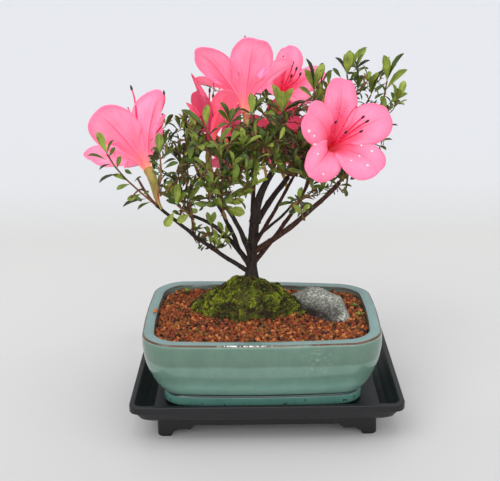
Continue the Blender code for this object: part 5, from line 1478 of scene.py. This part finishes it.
# %% Twigs
def choose_tips(name, mass, rng):
    """Seeded tips, each the farthest of a few tries from the others and from the shoots seen."""
    seen = [stem[-1] for stem, shoot in zip(stems_seen, SEEN) if shoot.mass == name]
    tips = list(seen)
    centre, size = np.array(mass.centre), np.array(mass.size)
    for _ in range(mass.tips):
        ways = unit(rng.normal(size=(30, 3)))
        tries = centre + ways * size * rng.uniform(0.35, 0.95, (30, 1))
        tries = tries[owned(tries, name, 1.0) & free(tries[:, None], 0.001)]
        if len(tries):
            gaps = [np.linalg.norm((tries - tip) / size, axis=1) for tip in tips] or [np.ones(len(tries))]
            tips.append(tries[np.argmax(np.min(gaps, axis=0))])
    return tips[len(seen):]


TWIG_THICK, TWIG_THIN, TWIG_STEPS = 0.00075, 0.00036, 6


def grow_twigs(name, mass, rng):
    """A stem from the bough's tip, and a twig to each tip from the node before it that costs least."""
    foot = paths[mass.bough][-1]
    onward = unit(paths[mass.bough][-1] - paths[mass.bough][-2])
    middle = np.array(mass.centre)
    reach = np.linalg.norm(middle - foot)
    stem = bezier(foot - onward * 0.001, foot + onward * reach * 0.3, middle - (middle - foot) * 0.35,
                  foot + (middle - foot) * 0.75, TWIG_STEPS)
    twigs = [(stem, TWIG_THICK * 1.35, TWIG_THICK)]
    places = [stem[k] for k in range(2, TWIG_STEPS + 1)]
    ways = [stem[k] - stem[k - 1] for k in range(2, TWIG_STEPS + 1)]
    thicks = [TWIG_THICK] * len(places)
    for tip in sorted(choose_tips(name, mass, rng), key=lambda tip: np.linalg.norm(tip - foot)):
        here, way = np.array(places), np.array(ways)
        far = np.linalg.norm(tip - here, axis=1)
        turn = 1 - ((tip - here) * way).sum(1) / (far * np.linalg.norm(way, axis=1) + 1e-9)
        for pick in np.argsort(np.where(far < 0.005, 9, far * (1 + 0.45 * turn)))[:5]:
            start, reach = here[pick], far[pick]
            run = way[pick] / np.linalg.norm(way[pick])
            sway = rng.normal(0, 0.06, 3) * reach
            path = bezier(start, start + run * reach * 0.3 + sway, tip - (0, 0, 0.30 * reach) + sway, tip,
                          TWIG_STEPS)
            if owned(path[1:], name, TWIG_EDGE).all() and free(path[1:], 0.0002):
                thick = thicks[pick] * 0.86
                thin = max(TWIG_THIN, thick * 0.62)
                twigs.append((path, thick, thin))
                places += list(path[2:])
                ways += list(path[2:] - path[1:-1])
                thicks += [thin] * (TWIG_STEPS - 1)
                break
    for shoot_stem, shoot in zip(stems_seen, SEEN):
        if shoot.mass == name:
            start = places[np.argmin(np.linalg.norm(np.array(places) - shoot_stem[0], axis=1))]
            path, _ = smooth_rows([start, *shoot_stem], TWIG_STEPS + 1)
            twigs.append((path, TWIG_THICK * 0.95, TWIG_THICK * 0.7))
    return twigs


twigs = {name: grow_twigs(name, mass, np.random.default_rng(mass.seed)) for name, mass in MASSES.items()}
print("twigs:", {name: len(grown) for name, grown in twigs.items()})

# %% [markdown]
# An azalea's leaf is a small blunt ellipse, folded a little along its midrib and bent back at its tip.
# Young leaves stand in a tuft round each shoot's end and spread like a hand; older ones are spaced down the
# shoot in the golden turn and hang further out. One grid of a few faces serves for all of them.

# %% The leaf's own shape
LEAF_LEVELS = np.array([0.0, 0.12, 0.32, 0.58, 0.80, 0.94, 1.0])
LEAF_WIDTHS = np.array([0.07, 0.20, 0.58, 0.96, 0.94, 0.52, 0.08])
LEAF_SHAPE, LEAF_FOLD = 0.34, 0.30
LEAF_GAP = 0.0015  # between two leaves along a shoot
SEEN_WHOLE = 9  # a shoot that shows more leaves than this gets no seeded ones
LIGHT_GUIDE = np.array([0.36, -0.80, 0.48])


def leaf_grids(rows):
    """Three points across at each level: sideways by the width, up by the fold, down by the bend squared."""
    root, way, face = (rows[:, None, None, first:first + 3] for first in (0, 3, 6))
    length, width, bend = (rows[:, None, None, column:column + 1] for column in (9, 10, 11))
    face = unit(face - way * (face * way).sum(-1, keepdims=True))
    level = LEAF_LEVELS[:, None, None]
    wide = LEAF_WIDTHS[:, None, None] * np.array([-0.5, 0.0, 0.5])[:, None] * width
    long = length * (level - 0.25 * bend * level ** 3)
    lift = LEAF_FOLD * np.abs(wide) * 2 - bend * length * level ** 2.2
    return (root + way * long + np.cross(face, way) * wide + face * lift).reshape(len(rows), -1, 3)


def grow_leaves(grown, rng):
    """Roots, directions and sizes of the leaves on twigs: a tuft at each tip and a spiral below it."""
    rows = []
    seen = {tuple(stem[-1]): len(shoot.leaves) for stem, shoot in zip(stems_seen, SEEN)}
    for path, _, _ in grown[1:]:
        named = seen.get(tuple(path[-1]), -1)
        if named > SEEN_WHOLE:
            continue
        long = np.linalg.norm(np.diff(path, axis=0), axis=1).sum()
        tuft = rng.integers(4, 6) if named < 0 else 0
        lower = int(max(0, (long - 0.004) / LEAF_GAP))
        share = np.concatenate([1 - 0.0006 * np.arange(tuft) / long,
                                1 - (0.0040 + LEAF_GAP * np.arange(lower)) / long])
        share = share[share > 0.18]
        count = len(share)
        young = np.arange(count) < tuft
        spread = np.where(young, 16 + 8 * np.arange(count), 64 + rng.uniform(-14, 16, count))
        spread = np.radians(np.minimum(spread, 84) + rng.uniform(-6, 6, count))
        turn = rng.uniform(0, 2 * np.pi) + GOLDEN_TURN * np.arange(count) + rng.normal(0, 0.2, count)
        place, places = share * TWIG_STEPS, np.arange(TWIG_STEPS + 1)
        onward = np.stack([np.interp(place, places, np.gradient(path[:, axis])) for axis in range(3)], -1)
        onward = unit(onward + (0, 0, 0.25 * long / TWIG_STEPS))
        up = unit(LIGHT_GUIDE - onward * (onward @ LIGHT_GUIDE)[:, None])
        out = up * np.cos(turn)[:, None] + np.cross(onward, up) * np.sin(turn)[:, None]
        way = onward * np.cos(spread)[:, None] + out * np.sin(spread)[:, None]
        face = onward * np.sin(spread)[:, None] - out * np.cos(spread)[:, None] + (0, 0, 0.35)
        vigour = rng.uniform(0.80, 1.15)
        length = np.where(young, rng.uniform(0.0085, 0.0130, count), rng.uniform(0.0060, 0.0100, count))
        length *= vigour
        bend = np.where(young, rng.uniform(0.00, 0.22, count), rng.uniform(0.15, 0.60, count))
        width = length * LEAF_SHAPE * rng.uniform(0.84, 1.16, count) * np.where(young, 0.98, 0.84)
        rows.append(np.c_[point_along(path, share), way, face, length, width, bend, ~young])
    return np.concatenate(rows)


leaf_faces = grid_faces(len(LEAF_LEVELS), 3)
leaves, ages, edges = [], [], []
for name, grown in twigs.items():
    rows = grow_leaves(grown, np.random.default_rng(MASSES[name].seed + 100))
    grids = leaf_grids(rows)
    good = owned(grids[:, 3:], name, LEAF_EDGE).all(1) & free(grids[:, 3:], -0.0003)
    grids, rows = grids[good], rows[good]
    blades = leaf_faces[:-2].tolist()
    clear = [not limb_tree.overlap(BVHTree.FromPolygons(points[3:].tolist(), blades)) for points in grids]
    leaves.append(grids[clear])
    ages.append(rows[clear, 12])
    edges.append(share_of(grids[clear].mean(1), MASSES[name]))
leaves, ages, edges = np.concatenate(leaves), np.concatenate(ages), np.concatenate(edges)
print("leaves:", len(leaves), "of", len(leaf_faces), "faces")

# %% Leaves that the photograph shows
PIXEL_SPAN = 0.00064  # how much one pixel spans at the plant
# Small weeds on the soil and thin blades by the trunk: the pixel, the count of blades and their length
SPROUTS = ((187, 293, 6, 0.0050), (355, 307, 5, 0.0040), (360, 316, 5, 0.0042), (249, 243, 3, 0.0070),
           (302, 315, 4, 0.0046))
SPROUT_SHAPE, SPROUT_RISE, SPROUT_WIDE = 0.36, 0.9, 4.8
rng = np.random.default_rng(77)
named_rows, named_wide = [], []
for shoot in SEEN:
    for tip_x, tip_y, wide, *foot in shoot.leaves:
        root = seen_deep(foot or shoot.stem[-1], shoot.depth)
        tip = seen_deep((tip_x, tip_y), shoot.depth - 0.002 + rng.uniform(-0.002, 0.002))
        length = np.linalg.norm(tip - root)
        way = (tip - root) / length
        toward = unit(-sight((tip_x, tip_y)))
        width = max(min(length * 0.36, 0.0062), wide * PIXEL_SPAN, 0.0018)
        shown = min(1.0, wide * PIXEL_SPAN / width)
        aside = np.cross(way, toward)
        aside *= 1 if aside[2] > 0 else -1
        face = toward * shown + aside * math.sqrt(1 - shown ** 2) + 1e-4
        bend = rng.uniform(0.0, 0.12) + (0.12 if shown < 0.7 else 0)
        named_rows.append([*root, *way, *face, length, width, bend])
        named_wide.append(wide)
for x, y, count, long in SPROUTS:
    root = seen_at((x, y), SOIL_TOP) if y > 290 else seen_deep((x, y), 0.002)
    for index in range(count):
        turn = index * GOLDEN_TURN + x
        way = unit(np.array([math.cos(turn), math.sin(turn), SPROUT_RISE]))
        face = (-math.cos(turn), -math.sin(turn), 0.8)
        named_rows.append([*root, *way, *face, long, long * SPROUT_SHAPE, 0.15])
        named_wide.append(SPROUT_WIDE)
named = leaf_grids(np.array(named_rows))
print("named leaves:", len(named))

# %% [markdown]
# Leaves are dealt into five greens by age and place. Tufts at the crown's edge are fresh and yellowish, and
# leaves inside the crown are deep and a little bronzed: partly their age, partly painted shade deep in the
# crown. Each green has its own finish with a paler midrib.

# %% The leaves
LEAF_TINTS = {
    "leaves_fresh": (138, 152, 60), "leaves_light": (108, 126, 44), "leaves_green": (76, 94, 34),
    "leaves_deep": (50, 60, 26), "leaves_bronze": (100, 72, 38),
}
rng = np.random.default_rng(5)
# Age, and painted shade: the nearer a leaf is to its mass's middle, the darker its green
youth_and_crown_shade = edges - 0.55 * ages + rng.normal(0, 0.20, len(leaves))
dealt = 3 - np.digitize(youth_and_crown_shade, np.quantile(youth_and_crown_shade, (0.34, 0.66, 0.88)))
dealt[rng.random(len(leaves)) < 0.08 + 0.14 * ages] = 4
dealt = np.concatenate([dealt, np.digitize(-np.array(named_wide), (-6.2, -4.2, -2.4))])
leaves = np.concatenate([leaves, named])
leaf_uv = np.stack(np.meshgrid(LEAF_LEVELS, (0.0, 0.5, 1.0), indexing="ij")[::-1], -1)
for index, (name, tint) in enumerate(LEAF_TINTS.items()):
    green, tree, shader = new_finish(name, 0.52, specular_ior_level=0.4)
    body = ramp(tree, noise(tree, spot(tree), 160, 3), (0.36, shade(tint, 0.80)), (0.64, shade(tint, 1.14)))
    rib = ramp(tree, axis_of(tree, spot(tree, "UV"), "X"), (0.44, 0), (0.50, 0.5), (0.56, 0))
    paint(tree, shader, mix(tree, rib, body, shade(tint, 1.35, 12)))
    bump(tree, shader, noise(tree, spot(tree), 1500, 3), 0.3, 0.0002)
    piece = add_piece(name, joined_mesh(name, leaves[dealt == index], leaf_faces, leaf_uv), green)
    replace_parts(piece, *MASSES)
print("greens:", np.bincount(dealt))

# %% The twigs
TWIG_SIDES = 6
shoots = [twig for grown in twigs.values() for twig in grown]
thick, thin = np.array([[thick, thin] for _, thick, thin in shoots]).T[:, :, None]
radii = thick + (thin - thick) * np.linspace(0, 1, TWIG_STEPS + 1)
young_wood, tree, shader = new_finish("young_wood", 0.7)
paint(tree, shader, tones(tree, noise(tree, spot(tree), 260, 4), (0.35, 66, 36, 28), (0.52, 122, 72, 46),
                          (0.70, 128, 112, 58)))
bump(tree, shader, noise(tree, spot(tree), 1600, 3), 0.4, 0.0002)
joined_tubes("twigs", [path for path, _, _ in shoots], radii, TWIG_SIDES, young_wood, "bark", *MASSES)
print("twigs:", len(shoots))
